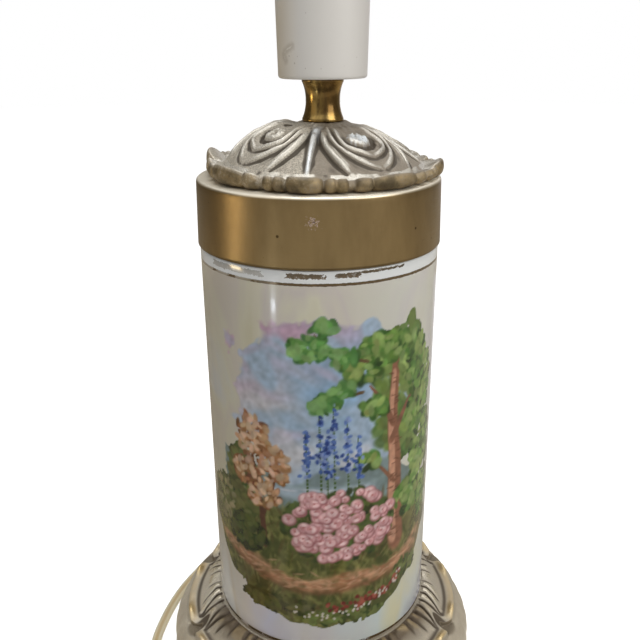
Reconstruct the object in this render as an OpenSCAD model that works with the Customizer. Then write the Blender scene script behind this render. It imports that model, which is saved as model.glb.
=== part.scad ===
// Table lamp: a printed porcelain cylinder between two leaf castings, a white lampholder on top
// and a flat flex with an in-line switch. The lamp stands on z = 0, its stem runs up +Z and the
// printed side faces -Y.

/* [Porcelain body] */
// Outer diameter of the cylinder
body_d = 108; // [98:1:116]
// Height of the cylinder
body_h = 216; // [160:1:260]
// Thickness of the wall and the floor
body_wall = 5; // [3.5:0.5:7]
// Rounding of the two rims
body_edge = 1.5; // [0.5:0.25:2]
// Thickness of the gaskets under and over the cylinder
gasket_t = 1; // [0.5:0.25:2]

/* [Base casting] */
// Diameter at the widest point of the lower tier
base_d = 161; // [154:1:176]
// Height from the felt to the seat of the cylinder
base_h = 38.5; // [34:0.5:48]
// Thickness of the cast wall
base_wall = 5; // [3.5:0.5:6]
// Width of the step between the leaves and the lower tier
tier_step = 8.7; // [7:0.1:10]
// Fall of the leaves from the seat to their edge
leaf_drop = 11; // [8:0.5:13]
// Depth of the pleats in the leaves
leaf_relief = 1.8; // [1:0.1:2.4]
// Height of the upturned edge of a leaf
leaf_curl = 2.2; // [1:0.1:3]
// Depth of the gap between two leaves
leaf_notch = 5.4; // [3:0.1:7]
// Thickness of the felt
felt_t = 1.5; // [1:0.25:3]

/* [Collar] */
// Height of the brass collar
collar_h = 28.8; // [20:0.2:40]
// Thickness of the collar's sheet
collar_t = 1.2; // [0.8:0.1:2]
// Radius of the rounded shoulder
collar_round = 1.5; // [1.3:0.1:3]
// Flare of the collar from its shoulder to its lower edge
collar_flare = 0.7; // [0:0.1:1.2]

/* [Crown casting] */
// Height of the crown
crown_h = 22.7; // [18:0.1:30]
// Depth of its relief
crown_relief = 2.2; // [1:0.1:3]

/* [Neck] */
// Distance of the stem from the axis of the cylinder
stem_x = 2; // [0:0.5:2.5]
// Height of the neck
neck_h = 17.8; // [12:0.1:30]
// Diameter of its two ends
neck_d = 18; // [16:0.1:19]
// Diameter of its waist
neck_waist = 14.8; // [13.4:0.1:16]

/* [Lampholder] */
// Height of the lower cup
cup_h = 36; // [32:0.5:44]
// Height of the upper skirt
skirt_h = 21; // [18:0.5:30]
// Diameter at the bottom of the cup
cup_d = 37.9; // [37:0.1:42]
// Growth of the shell's diameter over 10 mm of height
cup_draft = 0.43; // [0.2:0.01:0.6]
// Thickness of the shell
shell_t = 2.2; // [1.6:0.1:2.6]

/* [Flex] */
// Width of the flat flex
flex_w = 5.4; // [4.6:0.1:5.6]
// Thickness of the flat flex
flex_t = 2.9; // [2.4:0.1:3]

/* [Switch] */
// Length of the switch
switch_l = 58; // [54:0.5:60]
// Width of the switch
switch_w = 24; // [22:0.5:28]
// Height of the switch
switch_h = 17; // [16:0.5:20]
// Tilt of the rocker to either side
rock = 9; // [6:0.5:10]

/* [Plug] */
// Width of the plug
plug_w = 35.3; // [32:0.1:37]
// Length of the plug's body
plug_l = 37; // [34:0.5:42]
// Height of the plug
plug_h = 13.7; // [12:0.1:15]

/* [Hidden] */
$fn = 96;

brass = [0.72, 0.58, 0.32];
bronze = [0.5, 0.42, 0.3];
steel = [0.7, 0.7, 0.72];
cream = [0.94, 0.92, 0.87];
white = [0.9, 0.9, 0.86];
amber = [0.75, 0.56, 0.28];
brown = [0.35, 0.24, 0.14];

// Heights, from the table up
body_r = body_d / 2;
seat_z = felt_t + base_h;
body_z = seat_z + gasket_t;
plate_z = body_z + body_h + gasket_t;
crown_z = plate_z + collar_t;
neck_z = crown_z + crown_h;
cup_z = neck_z + neck_h;
skirt_z = cup_z + cup_h;
top_z = skirt_z + skirt_h;

// Running fits: between turned pieces, and round a casting
fit = 0.1;
cast_fit = 0.15;
stem_r = 5;
stem_bore = 3.5;
nut_t = 4;
washer_t = 1.6;
under_z = seat_z - base_wall;
stem_z = under_z - washer_t - nut_t - 4;
stem_top = cup_z + 10;

// Lampholder: contact block with a well for the centre contact, then the thread sleeve
block_r = cup_d / 2 - shell_t - 1.35;
block_h = 11;
block_z = cup_z + cup_h - 1 - block_h;
terminal_x = 9;
terminal_l = 5.2;
sleeve_z = block_z + block_h;
sleeve_r = 12.4;
sleeve_t = 1.1;
well = 3.4;
sleeve_h = skirt_z + skirt_h - 1 - sleeve_z;

// Castings: columns round the axis, each column is one closed section of [radius, height] points
crown_columns = 120;
base_columns = 160;
crown_turn = -9;
base_turn = 22.5;
function smooth(a, b, x) = let (t = max(0, min(1, (x - a) / (b - a)))) t * t * (3 - 2 * t);
function hump(d, w) = abs(d) < w ? sqrt(1 - pow(d / w, 2)) : 0;
// Angle about the middle of one of n leaves, scaled to -45..45
function fold(a, n, turn) = let (p = 360 / n) (((a - turn) % p + p) % p) * n / 4 - 45;
// Distance from the axis to a circle of radius r round the stem, at angle a
function stem_circle(r, a) = stem_x * cos(a) + sqrt(pow(r, 2) - pow(stem_x * sin(a), 2));
// Nested U-shaped bands round an eye: each band climbs outward and drops at its outer edge
function bands(t, s) = let (
    d = norm([t / 0.85, max(0, s - 0.45) / 0.5]),
    k = 5 * d,
    f = k - floor(k)
) d > 1.02 ? 0.45 : max(hump(norm([t / 0.27, (s - 0.44) / 0.13]), 1),
    d < 0.4 ? 0.1 : 0.25 + 0.75 * f * (1 - smooth(0.82, 1, f)));
// Straight rib between two leaves, d is the distance to its middle
function rib(d, s) = exp(-pow(d / 1.8, 2)) * (1 - smooth(0.8, 1, s));
function relief(f, s, r) = max(bands(abs(f) / 45, s), rib((45 - abs(f)) * r * PI / 180, s)) - 1;

// Crown: dome, valley, then a lip of lobes; heights are above the collar
pad_r = neck_d / 2 + 0.6;
crown_r = body_r + fit - collar_round - 0.3;
valley_r = crown_r - 7.9;
crown_hole = stem_r + 0.3;
function crown_lobe(f) = max(hump(f, 13.5), 0.75 * hump(abs(f) - 18, 5), 0.7 * hump(abs(f) - 30.5, 5.5),
    1.2 * hump(abs(f) - 45, 8.4));
function dome(s) = 6 + (crown_h - 6) * (1 - pow(s, 1.9));
function crown_section(a) = let (
    f = fold(a, 4, crown_turn),
    b = crown_lobe(f),
    edge = crown_r - 3.2 * (1 - b),
    lip = 5.2 + 3 * b
) concat(
    [[crown_hole, crown_h], [pad_r, crown_h]],
    [for (s = [1 : 11]) let (q = s / 11, r = pad_r + 0.6 + (valley_r - pad_r - 0.6) * q)
        [r, dome(q) + crown_relief * relief(f, q, r) * smooth(0, 0.15, q)
            * (1 - 0.6 * smooth(0.85, 1, q))]],
    [[edge - 3, lip - 1.3], [edge - 1.2, lip], [edge, lip - 2.2], [edge - 0.6, 1.8]],
    [[crown_r - 6.5, cast_fit], [crown_r - 14, cast_fit], [crown_r - 17, 4]],
    [[(crown_r + 16) / 2 - 8, dome(0.5) - 6.5], [13, crown_h - 6], [crown_hole, crown_h - 6]]
);

// Base: leaves fall from the seat to an upturned edge with curled corners, over a rounded lower tier
leaf_seat = body_r + 3;
rim_r = base_d / 2;
leaf_r = rim_r - tier_step;
leaf_z = seat_z - leaf_drop;
tier_r = leaf_r + 1.7;
tier_z = leaf_z - 0.7;
tier_mid = felt_t + 12;
slot_w = 9.6;
slot_top = felt_t + 9.5;
leaf_rows = [0, 0.08, 0.2, 0.34, 0.48, 0.62, 0.74, 0.84, 0.93, 1];
// t runs from 0 in the middle of a leaf to 1 in the gap beside it
function leaf_edge(t) = leaf_r - leaf_notch * pow(smooth(0.78, 1, t), 1.5);
function leaf_fall(r) = seat_z - leaf_drop * smooth(-0.15, 1.05, (r - leaf_seat) / (leaf_r - leaf_seat));
// Upturned edge at distance d inside the outline, highest at the corners and gone in the gap
function leaf_brim(t, d) = leaf_curl * (1 - smooth(0.78, 0.94, t) + exp(-pow((t - 0.66) / 0.12, 2)))
    * smooth(3.6, 0.5, d);
// Five pleats to a leaf, spreading from the seat and fading towards the edge
function pleats(t, q) = leaf_relief * (cos(900 * t) - 1) / 2 * smooth(0, 0.15, q)
    * (1 - smooth(0.5, 0.85, q));
function base_section(a) = let (
    t = abs(fold(a, 8, base_turn)) / 45,
    edge = leaf_edge(t),
    brim = leaf_fall(edge) + leaf_brim(t, 0),
    foot = max(tier_z - 0.16 * (tier_r - edge), brim - 1.7 - 3 * smooth(0.8, 0.95, t)),
    rim = rim_r - 0.5 * pow(1 - abs(cos(180 * t)), 2),
    bore = stem_circle(crown_hole, a)
) concat(
    [[bore, seat_z], [body_r, seat_z]],
    [for (q = leaf_rows) let (r = leaf_seat + (edge - leaf_seat) * q)
        [r, leaf_fall(r) + pleats(t, q) + leaf_brim(t, edge - r)]],
    [[edge + 0.4, brim - 0.4], [edge + 0.8, foot]],
    [for (q = [1, 0.85, 0.6, 0.3, 0]) [rim - (rim_r - tier_r) * q * q, tier_mid + (tier_z - tier_mid) * q]],
    [[rim - 0.3, felt_t + 8], [rim - 1, felt_t + 1.2], [rim - 2.2, felt_t + cast_fit]],
    [[rim_r - 4 - base_wall, felt_t + cast_fit], [rim_r - 4.5 - base_wall, tier_z - 13.3],
    [leaf_r - base_wall, tier_z - 5.8], [leaf_r - base_wall - 6.8, leaf_z - 0.5],
    [leaf_seat - base_wall - 1, under_z - 2.5], [leaf_seat - base_wall - 8, under_z], [bore, under_z]]
);
// The slot for the flex is cut by lifting the section at the back; its walls are two close columns
slot_a = asin(slot_w / 2 / (rim_r - 4));
base_step = 360 / base_columns;
function base_angle(i) = let (a = i * base_step, d = a - 90) abs(d) == base_step ? 90 + sign(d) * slot_a
    : abs(d) == 2 * base_step ? 90 + sign(d) * (slot_a + 0.2) : a;
function base_column(i) = let (a = base_angle(i), lift = abs(a - 90) <= slot_a + 0.01 ? slot_top : 0)
    [for (p = base_section(a)) [p[0], max(p[1], lift)]];

module ring_solid(sections, angles) {
    n = len(sections);
    m = len(sections[0]);
    polyhedron(
        [for (i = [0 : n - 1]) for (p = sections[i]) [p[0] * cos(angles[i]), p[0] * sin(angles[i]), p[1]]],
        [for (i = [0 : n - 1]) for (j = [0 : m - 1]) let (k = (i + 1) % n, l = (j + 1) % m)
            each [[i * m + j, k * m + j, k * m + l], [i * m + j, k * m + l, i * m + l]]]
    );
}

// Flex: an oval tube swept along the route's own points
function unit(v) = v / norm(v);
function along(p, i) = unit(p[min(i + 1, len(p) - 1)] - p[max(i - 1, 0)]);
function oval(n) = [for (k = [0 : n - 1]) [flex_w / 2 * cos(360 * k / n), flex_t / 2 * sin(360 * k / n)]];
// Sideways direction of a flex that lies on the table, turned about its own line by w
function sideways(t, w) = let (u = unit(cross([0, 0, 1], t)), v = cross(t, u)) u * cos(w) + v * sin(w);
module swept(p, side, ring) {
    n = len(p);
    m = len(ring);
    polyhedron(
        [for (i = [0 : n - 1]) let (u = side[i], v = cross(along(p, i), u))
            for (q = ring) p[i] + u * q[0] + v * q[1]],
        concat(
            [for (i = [0 : n - 2]) for (j = [0 : m - 1]) let (k = (j + 1) % m)
                let (a = i * m, b = a + m) each [[a + j, b + j, a + k], [b + j, b + k, a + k]]],
            [for (j = [1 : m - 2]) [0, j, j + 1]],
            [for (j = [1 : m - 2]) [(n - 1) * m, (n - 1) * m + j + 1, (n - 1) * m + j]]
        )
    );
}

// Bush in the slot, with a flange outside and a tapered nose
bush_z = 5.6;
bush_y = rim_r + 0.4;
flange_t = 1.6;
nose_l = 16;
bush_end = bush_y + flange_t + nose_l;
bush_in = rim_r - 4 - base_wall;

// Route of the flex from the inner end of the bush, through it, to the switch
flat_z = flex_t / 2;
flex_z = 6;
switch_x = -92;
switch_y = -62;
run_points = [
    [0, bush_in, bush_z], [0, bush_in + 13, bush_z], [0, bush_end, bush_z], [0, 104, 5.6], [-2, 113, 5.2],
    [-8, 121, 4.4], [-16, 125.5, 3.2],
    [-26, 126, 2.2], [-35, 122, flat_z], [-42, 114.5, flat_z], [-52, 97, flat_z], [-62, 80, flat_z],
    [-72, 62, flat_z],
    [-77, 51.5, flat_z], [-81.5, 42, flat_z], [-85, 33, flat_z], [-87.5, 24.5, flat_z], [-89.5, 16, flat_z],
    [-91, 7, flat_z], [-92, -2, flat_z], [-92, -12, 2.2], [-92, -20, 4.2], [-92, -27, 5.8],
    [switch_x, switch_y + switch_l / 2, flex_z]
];

// Coil: in along the lower layer, out along the upper one, with the flex on its edge
coil_pitch = 3.4;
coil_rise = 5.9;
coil_turns = 7.25;
coil_in = 24;
coil_out = coil_in + coil_pitch * coil_turns / 2;
coil_low = 3.9;
coil_x = switch_x + coil_out;
coil_y = -126;
function coil_r(n) = coil_in + coil_pitch * abs(n - coil_turns / 2);
function coil_h(n) = coil_low + coil_rise * max(0, min(1, (n - coil_turns / 2 + 0.25) * 2));
function coil_point(n) = let (a = 180 + 360 * n, r = coil_r(n))
    [coil_x + r * cos(a), coil_y + r * sin(a), coil_h(n)];
coil_steps = coil_turns * 24;
plug_x = 16;
plug_y = -144;
lead = [[switch_x, switch_y - switch_l / 2, flex_z], [switch_x, -97.5, 5.8], [switch_x, -106, 5],
    [switch_x, -114, 4.2], [switch_x, -120, coil_low]];
tail = [[-44, coil_y - coil_out, 9.7], [-32, -160, 9.2], [-20, -155, 8.4], [-8, -148.5, 7.4],
    [4, -144.6, 6.9], [plug_x - 6, plug_y, plug_h / 2], [plug_x, plug_y, plug_h / 2]];
coil_points = concat(lead, [for (i = [0 : coil_steps]) coil_point(i / 24)], tail);
lead_twist = [0, 0, 35, 70, 90];
tail_twist = [90, 78, 58, 34, 12, 0, 0];
coil_twist = concat(lead_twist, [for (i = [0 : coil_steps]) 90], tail_twist);
// Least gap of the coil to itself, measured between points of neighbouring turns
coil_gaps = [for (i = [0 : coil_steps - 24]) for (j = [i + 24 : 24 : coil_steps])
    let (a = abs(coil_r(i / 24) - coil_r(j / 24)), b = abs(coil_h(i / 24) - coil_h(j / 24)))
    norm([a, b]) * (1 - 1 / norm([a / flex_t, b / flex_w]))];
echo(least_coil_gap = min(coil_gaps));

// Flex inside the lamp, from the inner end of the bush to the contact block
riser_points = [
    [0, bush_in, bush_z], [0, bush_in - 4, bush_z],
    [0, 57, stem_z - 19], [0, 44, stem_z - 17.5], [stem_x / 2, 31, stem_z - 15], [stem_x, 20, stem_z - 12],
    [stem_x, 11, stem_z - 8], [stem_x, 4.5, stem_z - 4], [stem_x, 1, stem_z - 1], [stem_x, 0, stem_z + 4],
    [stem_x, 0, seat_z], [stem_x, 0, body_z + body_h / 2], [stem_x, 0, crown_z], [stem_x, 0, stem_top],
    [stem_x, 0, block_z - 4]
];

module base_felt() color(brown) cylinder(h = felt_t, r = rim_r - 4.5);

module base_casting() color(bronze) ring_solid(
    [for (i = [0 : base_columns - 1]) base_column(i)], [for (i = [0 : base_columns - 1]) base_angle(i)]);

module flex_bush() color(brown) difference() {
    union() {
        translate([0, bush_y + flange_t, bush_z]) rotate([-90, 0, 0])
            cylinder(h = nose_l, r1 = 4.6, r2 = 3.6);
        translate([-6, bush_y, felt_t + 0.4]) cube([12, flange_t, 10.6]);
        translate([-slot_w / 2 + 0.35, bush_in, felt_t + 0.4])
            cube([slot_w - 0.7, base_wall + 4.8, slot_top - felt_t - 0.6]);
    }
    translate([-flex_w / 2 - 0.1, rim_r - 10 - base_wall, bush_z - flex_t / 2 - 0.1])
        cube([flex_w + 0.2, 60, flex_t + 0.2]);
}

module ring(z, h, r_out, r_in) translate([0, 0, z]) difference() {
    cylinder(h = h, r = r_out);
    translate([0, 0, -1]) cylinder(h = h + 2, r = r_in);
}

module at_stem() translate([stem_x, 0, 0]) children();

module base_washer() color(steel) at_stem() ring(under_z - washer_t - cast_fit, washer_t, 14, stem_r + fit);

nut_z = under_z - washer_t - nut_t - cast_fit;
module base_nut() color(brass) at_stem() translate([0, 0, nut_z]) difference() {
    cylinder(h = nut_t, r = 8.1, $fn = 6);
    translate([0, 0, -1]) cylinder(h = nut_t + 2, r = stem_r + fit / 2);
}

module stem_tube() color(steel) at_stem() ring(stem_z, stem_top - stem_z, stem_r, stem_bore);

module lower_gasket() color(brown) ring(seat_z + cast_fit, gasket_t - cast_fit, body_r - 1.5, body_r - 16);

// Half section of the cylinder with rounded rims, as [radius, height] points
function corner(r, z, q, a) = [for (k = [0 : 4]) [r + q * cos(a + 22.5 * k), z + q * sin(a + 22.5 * k)]];
// The rim is drawn in under the collar by the thickness of its sheet
rebate_r = body_r - collar_t;
rebate_h = crown_z - collar_h - 0.5 - body_z;
rim_edge = min(body_edge, (body_wall - collar_t) / 2 - 0.1);
body_hole = stem_r + stem_x + 1;
module porcelain_body() color(cream) translate([0, 0, body_z]) rotate_extrude() polygon(concat(
    [[body_hole, 0]],
    corner(body_r - body_edge, body_edge, body_edge, -90),
    [[body_r, rebate_h], [rebate_r, rebate_h]],
    corner(rebate_r - rim_edge, body_h - rim_edge, rim_edge, 0),
    corner(body_r - body_wall + rim_edge, body_h - rim_edge, rim_edge, 90),
    [[body_r - body_wall, body_wall], [body_hole, body_wall]]
));

module upper_gasket() color(brown) ring(plate_z - gasket_t, gasket_t, rebate_r - 0.4, body_r - 10);

module brass_collar() color(brass) translate([0, 0, crown_z]) difference() {
    rotate_extrude() let (
        o = body_r + fit, i = o - collar_t, q = collar_round, p = max(0.1, collar_round - collar_t)
    ) polygon(concat(
        [[0, 0]],
        [for (k = [0 : 6]) [o - q + q * sin(15 * k), -q + q * cos(15 * k)]],
        [[o + collar_flare, -collar_h], [i + collar_flare, -collar_h]],
        [for (k = [6 : -1 : 0]) [i - p + p * sin(15 * k), -collar_t - p + p * cos(15 * k)]],
        [[0, -collar_t]]
    ));
    translate([stem_x, 0, -collar_t - 1]) cylinder(h = collar_t + 2, r = stem_r + 0.3);
}

crown_angles = [for (i = [0 : crown_columns - 1]) i * 360 / crown_columns];
module crown_casting() color(bronze) at_stem() translate([0, 0, crown_z])
    ring_solid([for (a = crown_angles) crown_section(a)], crown_angles);

module neck_spool() color(brass) at_stem() translate([0, 0, neck_z + cast_fit]) rotate_extrude() let (
    h = neck_h - cast_fit, e = neck_d / 2, w = neck_waist / 2, b = 1.2
) polygon(concat(
    [[stem_r + fit, 0], [e, 0]],
    [for (k = [0 : 16]) let (q = k / 16) [w + (e - w) * pow(abs(2 * q - 1), 2.2), b + (h - 2 * b) * q]],
    [[e, h], [stem_r + fit, h]]
));

// Lampholder shells: radius of the drafted outside at height z above the cup's bottom
function shell_r(z) = (cup_d + cup_draft * z / 10) / 2;
floor_t = 3.5;
grub_z = floor_t + 4.7;
module holder_cup() color(white) at_stem() translate([0, 0, cup_z]) difference() {
    union() {
        rotate_extrude() polygon(concat(
            [[stem_r + fit, 0]],
            corner(shell_r(2) - 2, 2, 2, -90),
            [[shell_r(cup_h), cup_h], [shell_r(cup_h) - shell_t, cup_h]],
            [[shell_r(floor_t) - shell_t, floor_t], [stem_r + fit, floor_t]]
        ));
        ring(floor_t - 0.1, 8.6, 8.5, stem_r + fit);
    }
    translate([4, 0, grub_z]) rotate([0, 90, 0]) cylinder(h = 6, r = 1.5);
}

module holder_grub_screw() color(steel) at_stem() translate([stem_r + 0.2, 0, cup_z + grub_z])
    rotate([0, 90, 0]) cylinder(h = 5.2, r = 1.45);

module contact_block() color(cream) at_stem() translate([0, 0, block_z]) difference() {
    union() {
        cylinder(h = block_h, r = block_r);
        cylinder(h = 3, r = shell_r(block_z - cup_z) - shell_t - fit);
    }
    translate([0, 0, -1]) cylinder(h = 5, r = 4);
    translate([0, 0, block_h - well]) cylinder(h = well + 1, r = sleeve_r - 0.6);
    for (s = [-1, 1]) translate([terminal_x * s, 0, -1]) cylinder(h = terminal_l + 0.8, r = 1.5);
}

module terminal_screws() color(brass) at_stem() for (s = [-1, 1]) translate([terminal_x * s, 0, block_z]) {
    translate([0, 0, -2]) cylinder(h = 2, r = 2.8);
    translate([0, 0, -0.5]) cylinder(h = terminal_l, r = 1.45);
}

module centre_contact() color(brass) at_stem() translate([0, 3, sleeve_z - well]) rotate([90, 0, 0])
    linear_extrude(height = 6) polygon([[-9, 0], [-4, 0], [-1, 2.4], [3, 2.4], [5, 1.4], [5.3, 1.8],
        [3.2, 2.9], [-1.2, 2.9], [-4.3, 0.5], [-9, 0.5]]);

// Strip between the sleeve and its terminal, standing on the block outside the sleeve
module side_contact() color(brass) at_stem()
    translate([sleeve_r + sleeve_t + 0.05, -2, sleeve_z]) cube([0.8, 4, 6]);

module thread_sleeve() color(brass) at_stem() ring(sleeve_z, sleeve_h, sleeve_r + sleeve_t, sleeve_r);

module holder_skirt() color(white) at_stem() translate([0, 0, skirt_z]) rotate_extrude() let (
    o = shell_r(cup_h + skirt_h), b = shell_r(cup_h), lip_r = sleeve_r + sleeve_t + 0.2
) polygon(concat(
    [[b - shell_t, 0.3], [b, 0.3]],
    corner(o - 2, skirt_h - 2, 2, 0),
    [[lip_r, skirt_h], [lip_r, skirt_h - 3], [o - shell_t, skirt_h - 3]]
));

module riser_flex() color(amber) swept(riser_points, [for (p = riser_points) [-1, 0, 0]], oval(8));

module flex_run() color(amber) swept(run_points,
    [for (i = [0 : len(run_points) - 1]) sideways(along(run_points, i), 0)], oval(8));

// Switch: two shells with a curved plan and a curved top, the rocker on two pins
split_z = 8.5;
pivot_z = switch_h - 4.5;
function half_w(q) = switch_w / 2 - (switch_w / 2 - 5.5) * pow(abs(q), 3);
plan_points = concat(
    [for (k = [-8 : 8]) [half_w(k / 8), k / 8 * switch_l / 2]],
    [for (k = [8 : -1 : -8]) [-half_w(k / 8), k / 8 * switch_l / 2]]
);
module at_switch() translate([switch_x, switch_y, 0]) children();
module at_screws() for (s = [-1, 1]) translate([0, s * (switch_l / 2 - 5.5), 0]) children();
room_l = switch_l / 2 - 9.5;
room_w = switch_w / 2 - 3.5;

module switch_base() color(brown) at_switch() difference() {
    linear_extrude(height = split_z) polygon(plan_points);
    translate([-room_w, -room_l, 2.2]) cube([2 * room_w, 2 * room_l, split_z]);
    at_screws() translate([0, 0, -1]) cylinder(h = 20, r = 1.6);
    at_screws() translate([0, 0, -1]) cylinder(h = 3.2, r = 2.9);
}

module switch_cover() color(brown) at_switch() difference() {
    intersection() {
        translate([0, 0, split_z]) linear_extrude(height = switch_h - split_z) polygon(plan_points);
        translate([-40, 0, switch_h - 80]) rotate([0, 90, 0]) cylinder(h = 80, r = 80);
    }
    difference() {
        translate([-room_w, -room_l, 0]) cube([2 * room_w, 2 * room_l, switch_h - 3.4]);
        for (s = [-1, 1]) translate([s * (room_w + 5.7) / 2 - (room_w - 5.7) / 2 - 0.01, -3.5, pivot_z - 3])
            cube([room_w - 5.68, 7, 10]);
    }
    translate([-5.7, -10.9, 1]) cube([11.4, 21.8, 40]);
    translate([-room_w, 0, pivot_z]) rotate([0, 90, 0]) cylinder(h = 2 * room_w, r = 1.55);
    at_screws() cylinder(h = split_z + 4.2, r = 1.5);
}

module switch_rocker() color(amber) at_switch() translate([0, 0, pivot_z]) rotate([-rock, 0, 0]) union() {
    translate([-5.4, 0, 0]) rotate([90, 0, 90]) linear_extrude(height = 10.8)
        polygon([[-10, -1.5], [-3, -4], [3, -4], [10, -1.5], [10, 5.2], [0, 3.4], [-10, 5.2]]);
    translate([-room_w + 0.4, 0, 0]) rotate([0, 90, 0]) cylinder(h = 2 * room_w - 0.8, r = 1.5);
}

module switch_contacts() color(brass) at_switch() for (s = [-1, 1]) translate([-3, s * 9 - 7, 2.2]) {
    cube([6, 14, 1.2]);
    translate([0, s < 0 ? 11 : 0, 1]) cube([6, 3, 2.6]);
}

module switch_screws() color(steel) at_switch() at_screws() {
    translate([0, 0, 0.3]) cylinder(h = 1.9, r = 2.8);
    translate([0, 0, 1.5]) cylinder(h = split_z + 2.3, r = 1.45);
}

module flex_coil() color(amber) swept(coil_points,
    [for (i = [0 : len(coil_points) - 1]) sideways(along(coil_points, i), coil_twist[i])], oval(6));

// Two bands round the bundle, on opposite sides of the coil
tie_w = coil_out - coil_in + flex_t + 2.2;
tie_h = coil_low + coil_rise + flex_w / 2 + 0.5;
module coil_ties() color(brown) for (a = [40, 220]) translate([coil_x, coil_y, 0]) rotate([0, 0, a])
    translate([(coil_in + coil_out) / 2 - tie_w / 2, -3, 0]) difference() {
        cube([tie_w, 6, tie_h + 0.8]);
        translate([0.8, -1, 0.8]) cube([tie_w - 1.6, 8, tie_h - 0.8]);
    }

module plug_outline(w, h, c) polygon([[w / 2, h / 2 - c], [w / 2 - c, h / 2], [c - w / 2, h / 2],
    [-w / 2, h / 2 - c], [-w / 2, c - h / 2], [c - w / 2, -h / 2],
    [w / 2 - c, -h / 2], [w / 2, c - h / 2]]);
module plug_slice(x, w, h, c) translate([x, 0, plug_h / 2]) rotate([90, 0, 90]) linear_extrude(height = 0.5)
    plug_outline(w, h, c);
module plug_body() color(amber) translate([plug_x, plug_y, 0]) union() {
    hull() {
        plug_slice(plug_l - 0.5, plug_w, plug_h, 4.5);
        plug_slice(plug_l - 9, plug_w, plug_h, 4.5);
        plug_slice(12, 17, 11, 3);
    }
    hull() {
        plug_slice(13, 12, 9, 2.6);
        plug_slice(0, 8, 6, 1.6);
    }
}

module plug_pins() color(steel) translate([plug_x + plug_l, plug_y, plug_h / 2]) for (s = [-1, 1])
    translate([0, 9.5 * s, 0]) rotate([0, 90, 0]) {
        cylinder(h = 17, r = 2);
        translate([0, 0, 17]) cylinder(h = 2, r1 = 2, r2 = 1.2);
    }

base_felt();
base_casting();
flex_bush();
base_washer();
base_nut();
stem_tube();
lower_gasket();
porcelain_body();
upper_gasket();
brass_collar();
crown_casting();
neck_spool();
holder_cup();
holder_grub_screw();
contact_block();
terminal_screws();
centre_contact();
side_contact();
thread_sleeve();
holder_skirt();
riser_flex();
flex_run();
switch_base();
switch_cover();
switch_rocker();
switch_contacts();
switch_screws();
flex_coil();
coil_ties();
plug_body();
plug_pins();
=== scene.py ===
# Table lamp: printed porcelain cylinder, brass collar, two leaf castings, white lampholder, gold flex
import math
import bmesh
import bpy
import numpy as np
from mathutils import Matrix


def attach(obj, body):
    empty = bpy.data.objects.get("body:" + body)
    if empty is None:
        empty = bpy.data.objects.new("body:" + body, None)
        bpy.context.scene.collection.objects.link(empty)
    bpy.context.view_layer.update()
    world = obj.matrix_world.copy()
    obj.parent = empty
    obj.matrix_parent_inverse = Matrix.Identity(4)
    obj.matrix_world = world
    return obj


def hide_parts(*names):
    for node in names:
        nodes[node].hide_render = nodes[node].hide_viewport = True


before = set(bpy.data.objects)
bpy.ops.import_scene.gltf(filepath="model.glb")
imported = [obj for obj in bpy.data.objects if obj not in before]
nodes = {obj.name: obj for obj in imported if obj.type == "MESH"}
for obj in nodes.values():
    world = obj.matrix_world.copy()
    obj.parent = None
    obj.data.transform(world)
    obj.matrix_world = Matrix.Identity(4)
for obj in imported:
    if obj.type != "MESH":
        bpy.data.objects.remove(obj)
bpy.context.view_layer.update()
scene = bpy.context.scene
scene.view_settings.view_transform = "Standard"
mm = 0.001
print("frame loaded:", len(nodes), "nodes")

# heights shared with the solids, in mm
heights = {"seat": 40.0, "body": 41.0, "bodyTop": 257.0, "crown": 259.2, "neck": 281.9, "cup": 299.7,
           "skirt": 335.7, "sleeve": 334.7}
# the stem stands this far to the right of the cylinder's axis; radii of the holes it passes through
stemX = 2.0
stemHole = 5.3
stemBore = 5.1


# small tools


def smooth(a, b, x):
    # eased step from 0 at a to 1 at b
    t = np.clip((x - a) / (b - a), 0, 1)
    return t * t * (3 - 2 * t)


def hump(d, w):
    # half circle of unit height over -w..w
    return np.sqrt(np.clip(1 - (d / w) ** 2, 0, 1))


def linear(rgb):
    # 8-bit screen colour to the linear numbers that shaders take
    c = np.asarray(rgb, float) / 255
    return np.where(c <= 0.04045, c / 12.92, ((c + 0.055) / 1.055) ** 2.4)


def rgba(r, g, b):
    # the same with full cover, for a colour socket
    return (*[float(v) for v in linear((r, g, b))], 1.0)


def smoothPath(points, perSpan):
    # Catmull-Rom line: every span is the cubic whose end slopes follow the chords of its neighbours
    p = np.asarray(points, float)
    p = np.concatenate([2 * p[:1] - p[1:2], p, 2 * p[-1:] - p[-2:-1]])
    t = np.linspace(0, 1, perSpan, endpoint=False).reshape((1, perSpan) + (1,) * (p.ndim - 1))
    a, b, c, d = (p[i:len(p) - 3 + i][:, None] for i in range(4))
    bend = 2 * a - 5 * b + 4 * c - d
    twist = 3 * b - a - 3 * c + d
    line = 0.5 * (2 * b + (c - a) * t + bend * t ** 2 + twist * t ** 3)
    return np.concatenate([line.reshape((-1,) + p.shape[1:]), p[-2:-1]])


def sideDistance(x, y, line):
    # signed distance of grid points to a line of short pieces, positive on its left, and how far along it
    a = line[:-1]
    d = line[1:] - a
    px = x[..., None] - a[:, 0]
    py = y[..., None] - a[:, 1]
    k = np.clip((px * d[:, 0] + py * d[:, 1]) / (d ** 2).sum(1), 0, 1)
    gap = np.hypot(px - k * d[:, 0], py - k * d[:, 1])
    near = gap.argmin(-1)[..., None]
    side = np.take_along_axis(d[:, 0] * py - d[:, 1] * px, near, -1)[..., 0]
    run = np.take_along_axis(k, near, -1)[..., 0] + near[..., 0]
    return np.take_along_axis(gap, near, -1)[..., 0] * np.where(side < 0, -1, 1), run / len(d)


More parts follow.
